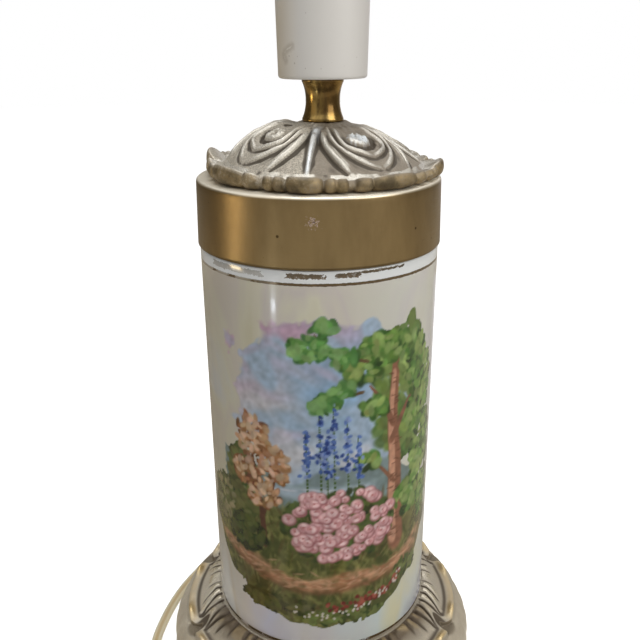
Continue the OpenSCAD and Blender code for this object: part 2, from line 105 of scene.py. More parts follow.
def cloudNoise(shape, size, rng):
    # random field with features about size cells across, spread 1: white noise through a Gaussian filter
    fy = np.fft.fftfreq(shape[0])[:, None]
    fx = np.fft.rfftfreq(shape[1])[None, :]
    wave = np.fft.rfft2(rng.standard_normal(shape)) * np.exp(-(fx ** 2 + fy ** 2) * (size * 2.2) ** 2)
    field = np.fft.irfft2(wave, shape)
    return field / field.std()


def blurRows(field, n):
    # box blur along both axes of a wrapped grid, n cells to each side
    out = sum(np.roll(field, k, 0) for k in range(-n, n + 1)) / (2 * n + 1)
    return sum(np.roll(out, k, 1) for k in range(-n, n + 1)) / (2 * n + 1)


def quadGrid(nu, nv, closeU=True, closeV=True):
    # faces of a grid whose vertex (i, j) has number i * nv + j
    rows = np.arange(nu if closeU else nu - 1)
    columns = np.arange(nv if closeV else nv - 1)
    i, j = np.meshgrid(rows, columns, indexing="ij")
    i2 = (i + 1) % nu
    j2 = (j + 1) % nv
    return np.stack([i * nv + j, i2 * nv + j, i2 * nv + j2, i * nv + j2], -1).reshape(-1, 4)


def makePiece(name, points, quads, material, replaced=(), fields=None, body="lamp"):
    # points in mm; fields are float or colour values on the points
    points = np.asarray(points, np.float32).reshape(-1, 3) * mm
    mesh = bpy.data.meshes.new(name)
    mesh.vertices.add(len(points))
    mesh.vertices.foreach_set("co", points.ravel())
    mesh.loops.add(quads.size)
    mesh.loops.foreach_set("vertex_index", quads.astype(np.int32).ravel())
    mesh.polygons.add(len(quads))
    mesh.polygons.foreach_set("loop_start", np.arange(0, quads.size, 4, dtype=np.int32))
    mesh.update(calc_edges=True)
    mesh.shade_smooth()
    for key, values in (fields or {}).items():
        values = np.asarray(values, np.float32)
        if values.size == 4 * len(points):
            mesh.attributes.new(key, "FLOAT_COLOR", "POINT").data.foreach_set("color", values.ravel())
        else:
            mesh.attributes.new(key, "FLOAT", "POINT").data.foreach_set("value", values.ravel())
    mesh.materials.append(material)
    piece = bpy.data.objects.new(name, mesh)
    scene.collection.objects.link(piece)
    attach(piece, body)
    if replaced:
        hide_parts(*replaced)
    return piece


def stemCircle(r, a):
    # distance from the axis to a circle of radius r round the stem, at angle a
    return stemX * np.cos(a) + np.sqrt(r ** 2 - (stemX * np.sin(a)) ** 2)


def around(r, a, z, x=0.0):
    # points at radius r and height z, with a row for each bearing a about an upright line at x
    r = r + 0 * a[:, None]
    return np.stack([r * np.cos(a)[:, None] + x, r * np.sin(a)[:, None], np.broadcast_to(z, r.shape)], -1)


def turned(profile, columns, x=0.0):
    # profile of [radius, height] carried round an upright line at x; a closed loop that runs anticlockwise
    profile = np.asarray(profile, float)
    a = np.arange(columns) * 2 * np.pi / columns
    return around(profile[None, :, 0], a, profile[None, :, 1], x), quadGrid(columns, len(profile))


def columnLines(pairs, n, perSpan):
    # smooth line through pairs of radius and height in each of n columns, without its last point
    one = np.ones(n)
    corners = np.stack([np.stack([r * one, z * one], -1) for r, z in pairs])
    return smoothPath(corners, perSpan)[:-1].transpose(1, 0, 2)


def dressNode(material, *names):
    # gives solids that are carried over as they are a material
    for name in names:
        nodes[name].data.materials.clear()
        nodes[name].data.materials.append(material)


softSet = {"segments": 3, "edgeAngle": 28, "flatAngle": 1}


def softNode(name, material, width, body="lamp"):
    # merged copy of a solid with its edges broken by a small round
    mesh = nodes[name].data.copy()
    mesh.name = name + "_soft"
    shape = bmesh.new()
    shape.from_mesh(mesh)
    bmesh.ops.remove_doubles(shape, verts=shape.verts, dist=1e-6)
    bmesh.ops.dissolve_limit(shape, angle_limit=math.radians(softSet["flatAngle"]),
                             verts=shape.verts, edges=shape.edges)
    shape.to_mesh(mesh)
    shape.free()
    mesh.materials.clear()
    mesh.materials.append(material)
    mesh.shade_smooth()
    piece = bpy.data.objects.new(name + "_soft", mesh)
    scene.collection.objects.link(piece)
    bevel = piece.modifiers.new("edges", "BEVEL")
    bevel.width = width * mm
    bevel.segments = softSet["segments"]
    bevel.limit_method = "ANGLE"
    bevel.angle_limit = math.radians(softSet["edgeAngle"])
    bevel.harden_normals = True
    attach(piece, body)
    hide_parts(name)
    return piece


# words for shader nodes


class nodeWords:
    # nodes of one tree: tones are 8-bit screen colours, lengths are mm
    def __init__(self, tree):
        self.tree = tree

    def join(self, value, socket):
        if isinstance(value, bpy.types.NodeSocket):
            self.tree.links.new(value, socket)
        else:
            socket.default_value = value

    def add(self, kind, inputs=None, **settings):
        made = self.tree.nodes.new("ShaderNode" + kind)
        for key, value in settings.items():
            setattr(made, key, value)
        for key, value in (inputs or {}).items():
            self.join(value, made.inputs[key])
        return made

    def feed(self, socket, value):
        self.tree.links.new(value, self.tree.nodes["Principled BSDF"].inputs[socket])

    def place(self, scale=(1, 1, 1)):
        # object coordinates in mm times scale
        coords = self.add("TexCoord").outputs["Object"]
        return self.add("Mapping", {"Vector": coords, "Scale": [1000 * s for s in scale]}).outputs[0]

    def axis(self, name):
        return self.add("SeparateXYZ", {"Vector": self.place()}).outputs[name]

    def vectors(self, kind, inputs, output=0):
        return self.add("VectorMath", inputs, operation=kind).outputs[output]

    def distance(self, spot):
        return self.vectors("DISTANCE", {0: self.place(), 1: spot}, "Value")

    def strokeDistance(self, a, b):
        # distance from the straight line between two points
        way = [v - u for u, v in zip(a, b)]
        size = sum(v * v for v in way)
        start = self.vectors("SUBTRACT", {0: self.place(), 1: a})
        along = self.vectors("DOT_PRODUCT", {0: start, 1: [v / size for v in way]}, "Value")
        held = self.add("Clamp", {"Value": along}).outputs[0]
        step = self.vectors("SCALE", {0: way, "Scale": held})
        return self.vectors("DISTANCE", {0: start, 1: step}, "Value")

    def noise(self, scale, detail=3.0, rough=0.55, warp=0.0, stretch=(1, 1, 1)):
        made = self.add("TexNoise", {"Vector": self.place(stretch), "Scale": scale, "Detail": detail,
                                     "Roughness": rough, "Distortion": warp})
        return made.outputs["Fac"]

    def ramp(self, value, stops):
        made = self.add("ValToRGB", {"Fac": value})
        line = made.color_ramp.elements
        while len(line) < len(stops):
            line.new(0.5)
        for element, (at, tone) in zip(line, stops):
            element.position = at
            element.color = rgba(*tone)
        return made.outputs["Color"]

    def span(self, value, low, high, toLow=0.0, toHigh=1.0):
        # eased step from toLow at low to toHigh at high
        made = self.add("MapRange", {"Value": value, "From Min": low, "From Max": high,
                                     "To Min": toLow, "To Max": toHigh}, interpolation_type="SMOOTHSTEP")
        return made.outputs["Result"]

    def sums(self, kind, a, b=0.0, c=0.0):
        return self.add("Math", {0: a, 1: b, 2: c}, operation=kind).outputs[0]

    def times(self, a, b):
        return self.sums("MULTIPLY", a, b)

    def plus(self, a, b):
        return self.sums("ADD", a, b)

    def less(self, a, b):
        return self.sums("SUBTRACT", a, b)

    def most(self, a, b):
        return self.sums("MAXIMUM", a, b)

    def within(self, value, middle, half):
        # 1 where the value is no more than half away from the middle
        return self.sums("COMPARE", value, middle, half)

    def blend(self, amount, a, b):
        made = self.add("Mix", data_type="RGBA")
        for key, value in ((0, amount), (6, a), (7, b)):
            self.join(rgba(*value) if isinstance(value, tuple) else value, made.inputs[key])
        return made.outputs[2]

    def field(self, name, output="Fac"):
        return self.add("Attribute", attribute_name=name).outputs[output]

    def relief(self, height, deep, strength=1.0):
        made = self.add("Bump", {"Height": height, "Distance": deep * mm, "Strength": strength})
        self.feed("Normal", made.outputs[0])


def newMaterial(name, values):
    # a material with plain values on its shader, and the words for its nodes
    material = bpy.data.materials.new(name)
    material.use_nodes = True
    shader = material.node_tree.nodes["Principled BSDF"]
    for key, value in values.items():
        shader.inputs[key].default_value = value
    return material, nodeWords(material.node_tree)


def emptyTree(owner):
    # words for a material or world with no nodes in it yet
    owner.use_nodes = True
    owner.node_tree.nodes.clear()
    return nodeWords(owner.node_tree)


# camera, at the photograph's place

cameraSet = {"place": (0.0002, -0.3321, 0.3138), "tilt": 69.49, "roll": -0.3445, "lens": 41.70,
             "sensor": 36.0, "near": 0.01}
cameraData = bpy.data.cameras.new("photoCamera")
cameraData.lens = cameraSet["lens"]
cameraData.sensor_width = cameraSet["sensor"]
cameraData.clip_start = cameraSet["near"]
camera = bpy.data.objects.new("photoCamera", cameraData)
turn = Matrix.Rotation(math.radians(cameraSet["tilt"]), 4, "X")
camera.matrix_world = (Matrix.Translation(cameraSet["place"]) @ turn
                       @ Matrix.Rotation(math.radians(cameraSet["roll"]), 4, "Z"))
scene.collection.objects.link(camera)
scene.camera = camera

# flex: two round cores side by side, swept along the route of the solids

flexSet = {"width": 5.4, "thick": 2.9, "sides": 20, "waist": 0.26, "waistHalf": 0.75, "perTurn": 24,
           "cores": ((252, 236, 194), (255, 247, 222)), "gap": ((222, 196, 142), (240, 218, 170))}
runRoute = [(0, 79.5, 5.6), (0, 89.5, 5.6), (0, 98.5, 5.6), (0, 104, 5.6), (-2, 113, 5.2), (-8, 121, 4.4),
            (-16, 125.5, 3.2), (-26, 126, 2.2), (-35, 122, 1.45), (-42, 114.5, 1.45), (-52, 97, 1.45),
            (-62, 80, 1.45), (-72, 62, 1.45), (-77, 51.5, 1.45), (-81.5, 42, 1.45), (-85, 33, 1.45),
            (-87.5, 24.5, 1.45), (-89.5, 16, 1.45), (-91, 7, 1.45), (-92, -2, 1.45), (-92, -12, 2.2),
            (-92, -20, 4.2), (-92, -27, 5.8), (-92, -33, 6), (-92, -48, 6), (-92, -62, 6), (-92, -76, 6)]
leadRoute = [(-92, -91, 6), (-92, -97.5, 5.8), (-92, -106, 5), (-92, -114, 4.2), (-92, -120, 3.9)]
tailRoute = [(-44, -162.325, 9.7), (-32, -160, 9.2), (-20, -155, 8.4), (-8, -148.5, 7.4), (4, -144.6, 6.9),
             (10, -144, 6.85), (18, -144, 6.85)]
coilSet = {"inner": 24.0, "pitch": 3.4, "rise": 5.9, "low": 3.9, "turns": 7.25,
           "centre": (-55.675, -126.0)}


def coilRoute(perTurn):
    # spirals in along the lower layer and out along the upper one
    n = np.arange(1, int(coilSet["turns"] * perTurn)) / perTurn
    half = coilSet["turns"] / 2
    r = coilSet["inner"] + coilSet["pitch"] * np.abs(n - half)
    a = np.pi + 2 * np.pi * n
    z = coilSet["low"] + coilSet["rise"] * np.clip((n - half + 0.25) * 2, 0, 1)
    return np.stack([coilSet["centre"][0] + r * np.cos(a), coilSet["centre"][1] + r * np.sin(a), z], 1)


def makeFlex(material):
    # rings of the outline in the planes across the route, which turn from flat to upright on the coil
    coil = coilRoute(flexSet["perTurn"])
    route = np.vstack([runRoute, leadRoute, [(-92, -126, 3.9)], coil, tailRoute])
    tilt = np.concatenate([np.zeros(len(runRoute)), [0, 0, 35, 70, 90], [90], np.full(len(coil), 90),
                           [90, 78, 58, 34, 12, 0, 0]])
    line = smoothPath(np.column_stack([route, tilt]), 4)
    spot = line[:, :3]
    w = np.radians(line[:, 3])[:, None]
    ahead = np.gradient(spot, axis=0)
    ahead /= np.linalg.norm(ahead, axis=1)[:, None]
    across = np.cross([0, 0, 1.0], ahead)
    across /= np.linalg.norm(across, axis=1)[:, None]
    up = np.cross(ahead, across)
    side = across * np.cos(w) + up * np.sin(w)
    over = np.cross(ahead, side)
    k = np.arange(flexSet["sides"]) * 2 * np.pi / flexSet["sides"]
    # outline: half width and thickness of an oval, drawn in at the middle of both flats
    x = flexSet["width"] / 2 * np.sign(np.cos(k)) * np.abs(np.cos(k)) ** 0.85
    waist = 1 - flexSet["waist"] * np.exp(-(x / flexSet["waistHalf"]) ** 2)
    y = flexSet["thick"] / 2 * np.sign(np.sin(k)) * np.abs(np.sin(k)) ** 0.62 * waist
    ring = side[:, None] * x[None, :, None] + over[:, None] * y[None, :, None]
    points = spot[:, None] + ring
    step = np.linalg.norm(np.diff(spot, axis=0), axis=1)
    # capped by drawing the first and last ring to a point
    points = np.concatenate([np.repeat(spot[:1, None], flexSet["sides"], 1), points,
                             np.repeat(spot[-1:, None], flexSet["sides"], 1)])
    fields = {"core": np.tile(x, len(points))}
    quads = quadGrid(len(points), flexSet["sides"], False, True)[:, ::-1]
    flex = makePiece("lamp_flex", points, quads, material, ("flex_run", "flex_coil"), fields)
    shape = bmesh.new()
    shape.from_mesh(flex.data)
    bmesh.ops.remove_doubles(shape, verts=shape.verts, dist=1e-7)
    shape.to_mesh(flex.data)
    shape.free()
    return flex, spot * mm, float(np.cumsum(step)[-1]) * mm


def goldFlex():
    # two light cores with a darker line between them, set apart by the distance from the middle
    material, tree = newMaterial("goldFlex", {"Roughness": 0.3, "IOR": 1.5, "Coat Weight": 0.25})
    strand = tree.span(tree.sums("ABSOLUTE", tree.field("core")), 0.3, 1.6)
    mottle = tree.noise(0.11, 4.0)
    cores = tree.blend(mottle, *flexSet["cores"])
    gap = tree.blend(mottle, *flexSet["gap"])
    tree.feed("Base Color", tree.blend(strand, gap, cores))
    twist = tree.add("TexWave", {"Vector": tree.place(), "Scale": 0.35, "Distortion": 2.0})
    tree.relief(twist.outputs["Fac"], 0.05, 0.25)
    return material


flex, flexLine, flexLength = makeFlex(goldFlex())
print("flex swept, length", round(flexLength, 3))

# porcelain: cream lustre glaze, worn gilt lines, garden print under the glaze

porcelainSet = {"radius": 54.0, "wall": 5.0, "edge": 1.5, "rebate": 1.2, "hole": 8.0, "cell": 0.55,
                "seed": 11, "printHalf": 72.0, "printLow": 50.0, "printHigh": 214.0, "backColumns": 32,
                "ink": (0.99, 0.96, 1.0),
                "pearl": [(0.3, (212, 206, 176)), (0.42, (221, 217, 196)), (0.5, (212, 204, 197)),
                          (0.58, (216, 213, 194)), (0.7, (206, 210, 214))],
                "shimmer": [(0.015, (246, 248, 250)), (0.05, (228, 220, 206)), (0.1, (233, 227, 224)),
                            (0.17, (219, 222, 246)), (0.3, (214, 212, 216)), (0.5, (210, 209, 215)),
                            (0.78, (205, 219, 220)), (0.855, (220, 217, 180)), (0.905, (208, 217, 216)),
                            (0.95, (172, 178, 196))],
                "giltLeft": ((-33, 11, 227.6, 1.2, 0.45), (-5.5, 7.5, 227.8, 1.1, 1.0),
                             (12, 5, 228.0, 1.0, 1.0), (26, 9, 228.8, 0.5, 1.0)),
                "thinLine": (224.3, 0.6), "footLine": (42.4, 1.1), "whiteBand": (227.5, 2.9),
                "gilt": ((72, 58, 38), (124, 102, 70))}


class gardenPaint:
    # canvas of screen colours over arc length u and height z, painted in soft-edged dabs
    def __init__(self, u, z, seed):
        self.u, self.z = u, z
        self.rng = np.random.default_rng(seed)
        self.colour = np.full((len(u), len(z), 3), 0.8)
        self.cover = np.zeros((len(u), len(z)))
        self.gridU, self.gridZ = np.meshgrid(u, z, indexing="ij")
        self.grain = cloudNoise(self.gridU.shape, 3, self.rng)
        self.drift = cloudNoise(self.gridU.shape, 14, self.rng)

    def wash(self, mask, colour, strength=1.0):
        # lays one colour, or a grid of colours, over the mask
        c = np.asarray(colour, float)
        c = c / 255 if c.max() > 1.5 else c
        k = np.clip(mask, 0, 1) * strength
        self.colour += (c - self.colour) * (k / np.maximum(k + self.cover * (1 - k), 1e-6))[..., None]
        self.cover = k + self.cover * (1 - k)

    def patch(self, u, z, wide, tall):
        # round patch that fades outwards: a Gaussian of the distances in u and z
        return np.exp(-((self.gridU - u) / wide) ** 2 - ((self.gridZ - z) / tall) ** 2)

    def strip(self, fromLeft, left, right, toRight):
        # 1 between left and right, eased to 0 on both sides
        return smooth(fromLeft, left, self.gridU) * smooth(toRight, right, self.gridU)

    def dab(self, u, z, long, wide, turn, colour, strength=0.9, edge=0.35):
        # one leaf-shaped touch: an ellipse with a soft edge
        reach = max(long, wide) * 1.3
        i0, i1 = np.searchsorted(self.u, [u - reach, u + reach])
        j0, j1 = np.searchsorted(self.z, [z - reach, z + reach])
        if i1 <= i0 or j1 <= j0:
            return
        du = self.gridU[i0:i1, j0:j1] - u
        dz = self.gridZ[i0:i1, j0:j1] - z
        c, s = math.cos(turn), math.sin(turn)
        d = np.hypot((du * c + dz * s) / long, (dz * c - du * s) / wide)
        k = strength * (1 - smooth(1 - edge, 1 + edge, d))
        held = self.cover[i0:i1, j0:j1]
        part = self.colour[i0:i1, j0:j1]
        share = k / np.maximum(k + held * (1 - k), 1e-6)
        part += (np.asarray(colour, float) / 255 - part) * share[..., None]
        self.cover[i0:i1, j0:j1] = k + held * (1 - k)

    def cluster(self, u, z, ru, rz, count, colours, size):
        # touches scattered over an ellipse, dark ones first and light ones last
        rng = self.rng
        order = np.sort(rng.random(count))
        for k in order:
            a = rng.random() * 2 * np.pi
            q = math.sqrt(rng.random())
            pick = np.array(colours[min(int(k * len(colours)), len(colours) - 1)], float)
            pick = pick * (1 + 0.07 * rng.standard_normal()) + 3 * rng.standard_normal(3)
            turn = rng.random() * np.pi
            long = size * (0.6 + 0.8 * rng.random())
            wide = long * (0.45 + 0.3 * rng.random())
            self.dab(u + ru * q * math.cos(a), z + rz * q * math.sin(a), long, wide, turn,
                     np.clip(pick, 0, 255))

    def clusters(self, spots, colours, size):
        for spot in spots:
            self.cluster(*spot, colours, size)

    def stroke(self, points, wide, colour, strength=0.9, taper=0.4):
        # a line of overlapping touches along a smooth path
        line = smoothPath(points, 14)
        slope = np.gradient(line, axis=0)
        for k, (p, d) in enumerate(zip(line, slope)):
            w = wide * (1 - taper * k / len(line))
            self.dab(p[0], p[1], w * 1.6, w, math.atan2(d[1], d[0]), colour, strength)


def paintGarden(u, z, seed):
    # a garden laid from the back to the front: washes over soft patches, then touches and strokes
    art = gardenPaint(u, z, seed)
    uu, zz, rng, wob = art.gridU, art.gridZ, art.rng, art.drift
    # sky: blue in the middle, lilac and rose clouds to the left, fading at its edge
    sky = 1 - smooth(0.70, 1.05, np.hypot((uu - 4) / 48, (zz - 168) / 47) + 0.07 * wob)
    art.wash(sky, [171, 196, 208], 0.85)
    art.wash(art.patch(4, 172, 20, 26) * (0.75 + 0.25 * wob), [128, 172, 200], 0.85)
    rose = art.patch(-34, 190, 15, 16) + art.patch(-8, 203, 24, 7)
    art.wash(rose * smooth(-0.9, 0.8, wob), [205, 172, 186], 0.75)
    art.wash(art.patch(-24, 166, 18, 16) * smooth(-1.0, 0.6, wob), [214, 214, 206], 0.8)
    for k in range(26):
        art.dab(-46 + 60 * rng.random(), 150 + 50 * rng.random(), 5 + 5 * rng.random(), 1.6 + rng.random(),
                0.3 * rng.standard_normal(), [196, 186, 198] if k % 2 else [188, 208, 216], 0.35, 0.8)
    # far hills and a strip of lake
    art.wash(art.patch(2, 147, 30, 9) * smooth(-1.2, 0.6, wob), [226, 224, 214], 0.75)
    crests = 139 + 4 * np.sin(uu / 11) + 2.5 * np.sin(uu / 4.7 + 1)
    hills = smooth(0, 3, crests - zz) * smooth(110, 116, zz)
    art.wash(hills * art.strip(-58, -46, 46, 58), [124, 146, 138], 0.85)
    lake = np.exp(-((zz - 128) / 3.4) ** 4) * art.strip(-48, -36, 18, 30)
    art.wash(lake, [176, 198, 206], 0.8)
    for k in range(22):
        art.dab(-40 + 60 * rng.random(), 125.5 + 5 * rng.random(), 4, 0.5, 0, [206, 214, 212], 0.5)
    # meadow and bank
    outline = np.hypot(uu / 68, (zz - 113) / 60) + 0.022 * wob
    bank = smooth(0, 5, 124 + 3 * np.sin(uu / 9) - zz) * (1 - smooth(0.96, 1.0, outline))
    tone = smooth(-1.4, 1.4, wob + 0.5 * art.grain)[..., None]
    art.wash(bank, (np.array([84, 92, 44]) * (1 - tone) + np.array([126, 128, 70]) * tone) / 255, 0.97)
    shade = art.patch(-30, 76, 16, 7) + art.patch(30, 100, 20, 7)
    art.wash(shade * 0.8, [70, 66, 36], 0.8)
    for k in range(620):
        z0 = 55 + 68 * rng.random()
        u0 = -62 + 124 * rng.random()
        tone = [[74, 84, 36], [116, 122, 62], [148, 146, 86], [96, 82, 46]][k % 4]
        if math.hypot(u0 / 66, (z0 - 113) / 58) < 0.95:
            art.dab(u0, z0, 2.2 + 2.6 * rng.random(), 0.5 + 0.4 * rng.random(),
                    math.pi / 2 + 0.5 * rng.standard_normal(), tone, 0.45)
    # path
    way = 78 + 9.5 * (np.abs(uu - 5) / 50) ** 1.5 + 1.2 * np.sin(uu / 8)
    sand = np.exp(-((zz - way) / (4.4 + 1.3 * np.sin(uu / 7))) ** 4) * art.strip(-64, -50, 54, 64)
    art.wash(sand * (0.86 + 0.14 * art.grain), [190, 146, 108], 0.92)
    verge = np.exp(-((zz - way + 3.8) / 1.6) ** 2) * art.strip(-56, -44, 46, 56)
    art.wash(verge, [122, 84, 54], 0.6)
    for k in range(110):
        u0 = -52 + 106 * rng.random()
        z0 = 78 + 9.5 * (abs(u0 - 5) / 50) ** 1.5 + 2.6 * rng.standard_normal()
        gravel = [[210, 170, 130], [160, 112, 78]][k % 2]
        art.dab(u0, z0, 2.6, 0.6, 0.3 * rng.standard_normal(), gravel, 0.5)
    # tall tree at the right with a pale trunk
    art.cluster(40, 172, 16, 34, 240, [[70, 96, 44], [92, 122, 58], [118, 146, 74]], 3.4)
    trunk = [(38, 96), (36.5, 118), (36, 140), (34, 160), (35, 186)]
    light = [(36, 97), (34.8, 118), (34.4, 140), (33, 160), (34.2, 182)]
    art.stroke(trunk, 4.4, [150, 104, 76], 0.96, 0.55)
    art.stroke(light, 2.2, [204, 156, 122], 0.9, 0.5)
    art.stroke([(34, 158), (28, 170), (22, 178)], 1.5, [138, 96, 70], 0.95, 0.7)
    art.stroke([(34, 150), (42, 164), (50, 172)], 1.6, [138, 96, 70], 0.95, 0.7)
    art.stroke([(35.5, 128), (29, 136), (25, 140)], 1.1, [146, 104, 76], 0.95, 0.7)
    for k in range(46):
        z0 = 98 + 84 * rng.random()
        u0 = 36.4 - 0.03 * (z0 - 98) + 2.0 * rng.standard_normal()
        art.dab(u0, z0, 1.5, 0.4, 0.2 * rng.standard_normal(), [112, 74, 52], 0.6)
    leafTones = [[46, 74, 30], [62, 98, 38], [78, 122, 48], [104, 146, 66], [142, 170, 92]]
    art.clusters(((30, 194, 14, 7, 110), (47, 186, 9, 12, 120), (18, 186, 9, 5, 60), (50, 160, 7, 12, 90),
                  (25, 168, 7, 4, 40), (52, 134, 6, 14, 90), (46, 116, 9, 9, 90), (22, 142, 5, 4, 34),
                  (59, 170, 5, 16, 90), (61, 138, 5, 16, 90), (60, 110, 6, 12, 80)), leafTones, 2.3)
    # boughs reaching in at the top
    boughs = ([(20, 190), (6, 194), (-8, 196)], [(6, 194), (-2, 203)], [(18, 176), (6, 174), (-4, 171)])
    for line in boughs:
        art.stroke(line, 0.8, [104, 84, 54], 0.8, 0.6)
    freshTones = [[58, 104, 48], [76, 130, 58], [96, 152, 74], [128, 176, 100]]
    art.clusters(((-5, 197, 9, 5, 70), (2, 206, 5, 3, 26), (10, 193, 6, 4, 40), (2, 172, 7, 4.5, 52),
                  (10, 178, 5, 3, 26)), freshTones, 2.1)
    # autumn shrub at the left over a dark bush
    art.cluster(-40, 124, 10, 22, 120, [[62, 74, 34], [84, 96, 46], [112, 116, 62]], 2.6)
    art.stroke([(-27, 98), (-28, 116), (-31, 136), (-34, 154)], 1.6, [98, 66, 46], 0.95, 0.7)
    art.stroke([(-28, 112), (-22, 128), (-20, 144)], 1.2, [98, 66, 46], 0.95, 0.7)
    autumn = [[120, 78, 46], [150, 102, 62], [178, 132, 86], [202, 164, 118], [216, 188, 150]]
    art.clusters(((-32, 152, 9, 11, 110), (-22, 140, 8, 10, 90), (-37, 134, 7, 9, 70),
                  (-27, 124, 9, 7, 70)), autumn, 1.9)
    art.cluster(-38, 100, 11, 9, 120, [[40, 52, 24], [58, 72, 32], [84, 96, 46]], 2.3)
    art.cluster(-54, 112, 9, 12, 150, [[52, 66, 32], [74, 88, 42], [104, 112, 62], [152, 148, 104]], 2.0)
    # blue spires behind the roses
    spires = ((-6, 128, 30), (0, 130, 36), (6, 130, 40), (12, 130, 34), (17, 128, 27), (3, 128, 26))
    for u0, z0, tall in spires:
        stalk = [(u0 + 0.6, z0 - 10), (u0, z0 + tall * 0.5), (u0 - 0.4, z0 + tall)]
        art.stroke(stalk, 0.55, [74, 102, 52])
        for k in range(30):
            q = rng.random()
            tone = [[44, 66, 128], [66, 96, 162], [96, 128, 188], [140, 166, 210]][rng.integers(4)]
            art.dab(u0 + (1 - 0.8 * q) * 2.1 * rng.standard_normal() * 0.8, z0 + tall * (0.25 + 0.78 * q),
                    1.15, 0.8, rng.random() * 3, tone, 0.9)
    # rose bush: leaves below, then blossoms of a few curled petals
    art.cluster(9, 110, 27, 19, 330, [[48, 62, 28], [66, 84, 38], [88, 108, 52]], 2.3)
    for k in range(118):
        a = rng.random() * 2 * np.pi
        q = math.sqrt(rng.random())
        cu = 9 + 26 * q * math.cos(a)
        cz = 111 + 18.5 * q * math.sin(a)
        big = 1.9 + 1.3 * rng.random()
        art.dab(cu + 0.3, cz - 0.4, big * 1.12, big, 0.2, [166, 108, 108], 0.92, 0.25)
        art.dab(cu, cz, big, big * 0.9, 0.2, [222, 178, 172], 0.95, 0.25)
        for m in range(4):
            t = rng.random() * 6.28
            petal = [[240, 214, 206], [232, 196, 190], [204, 146, 142]][m % 3]
            art.dab(cu + 0.45 * big * math.cos(t), cz + 0.4 * big * math.sin(t), big * 0.5, big * 0.3,
                    t + 1.57, petal, 0.85, 0.3)
        art.dab(cu - 0.1, cz + 0.1, big * 0.25, big * 0.2, 0.5, [190, 122, 118], 0.8)
    # foreground: dark turf, russet and white flowers along the lower edge
    turf = [[56, 70, 30], [82, 98, 44], [112, 126, 64]]
    art.cluster(-22, 65, 20, 4.5, 120, [[50, 54, 26], [72, 76, 36], [98, 100, 54]], 2.2)
    art.cluster(10, 60, 22, 4, 110, turf, 2.0)
    art.cluster(46, 76, 9, 5, 60, turf, 1.8)
    for k in range(64):
        u0 = 2 + 40 * rng.random()
        z0 = 65 + 0.0055 * (u0 - 2) ** 2 + 1.8 * rng.standard_normal()
        russet = [[112, 46, 36], [146, 64, 50], [168, 92, 72]][k % 3]
        art.dab(u0, z0, 1.2, 0.9, rng.random() * 3, russet)
    for k in range(46):
        u0 = -14 + 56 * rng.random()
        z0 = 61 + 0.0075 * u0 ** 2 + 1.5 * rng.standard_normal()
        art.dab(u0, z0, 0.8, 0.6, rng.random() * 3, [222, 218, 204], 0.85)
    # print grain, and an edge where the paint grows thin
    art.colour *= (1 + 0.035 * art.grain)[..., None]
    cover = smooth(0.42, 0.62, art.cover + 0.05 * art.grain)
    return np.clip(art.colour, 0, 1), cover


def lustreGlaze():
    # pearl tones from a broad noise, painted shade and light across the sides, bands of shimmer towards
    # the foot, a painted reflection of the casting, the print, and worn gilt lines
    p = porcelainSet
    coat = {"Coat Weight": 0.3, "Coat Roughness": 0.06}
    material, tree = newMaterial("lustreGlaze", {"Roughness": 0.16, "IOR": 1.52, **coat})
    high = tree.axis("Z")
    across = tree.axis("X")
    hue = tree.noise(0.028, 3.0, 0.5, 0.6, stretch=(1, 1, 0.55))
    streak = tree.noise(0.09, 3.0, stretch=(1, 1, 0.12))
    pearl = tree.ramp(hue, p["pearl"])
    glaze = tree.blend(tree.span(streak, 0.45, 0.75, 0.0, 0.45), pearl, (223, 215, 203))
    # painted shade, a darker tan, over the left of the whole glaze and painted light, a paler grey, over
    # its right; then mother-of-pearl shimmer towards the foot
    swirl = tree.plus(across, tree.span(hue, 0.3, 0.7, -8.0, 8.0))
    glaze = tree.blend(tree.span(swirl, -18, -54, 0.0, 0.42), glaze, (190, 180, 150))
    glaze = tree.blend(tree.span(swirl, 4, 44, 0.0, 0.42), glaze, (214, 216, 216))
    # the shimmer ramp's ends also paint a pale reflection at the far left and a bluish-white reflection
    # with a darker edge at the far right
    shimmer = tree.ramp(tree.span(swirl, -60, 70), p["shimmer"])
    glaze = tree.blend(tree.span(high, 100, 55, 0.0, 0.8), glaze, shimmer)
    # painted reflection: the left of the foot takes a tan cast from the casting under it
    cast = tree.times(tree.span(high, 45.5, 42.0, 0.0, 0.55), tree.span(across, 10.0, -20.0))
    glaze = tree.blend(cast, glaze, (152, 128, 100))
    # a wide and a thin gilt line under the collar and one round the foot, rubbed away in patches
    rub = tree.noise(0.12, 4.0, 0.65, stretch=(1, 1, 2.0))
    fray = tree.noise(0.55, 4.0, 0.7)
    ragged = tree.plus(across, tree.span(rub, 0.2, 0.8, -3.0, 3.0))
    wander = tree.plus(high, tree.span(fray, 0.2, 0.8, -0.5, 0.5))
    wide = 0.0
    for middle, half, level, tall, held in p["giltLeft"]:
        patch = tree.times(tree.within(ragged, middle, half), tree.within(wander, level, tall))
        wide = tree.most(wide, tree.times(patch, held))
    wide = tree.times(wide, tree.span(fray, 0.3, 0.46, 0.35, 0.95))
    held = tree.most(tree.span(ragged, -40.0, -14.0, 0.4, 1.0), tree.span(rub, 0.5, 0.56))
    waver = tree.plus(high, tree.span(fray, 0.2, 0.8, -0.15, 0.15))
    thin = tree.times(tree.within(waver, *p["thinLine"]), held)
    foot = tree.times(tree.within(high, *p["footLine"]), tree.span(rub, 0.36, 0.46))
    gilt = tree.most(tree.most(wide, thin), foot)
    glaze = tree.blend(tree.within(high, *p["whiteBand"]), glaze, (240, 243, 244))
    painted = tree.blend(tree.field("cover"), glaze, tree.field("paint", "Color"))
    giltTone = tree.blend(tree.noise(0.4, 4.0), *p["gilt"])
    tree.feed("Base Color", tree.blend(gilt, painted, giltTone))
    tree.feed("Metallic", tree.times(gilt, 0.45))
    tree.relief(tree.noise(0.02, 2.0, stretch=(1, 1, 0.6)), 0.5, 0.5)
    return material


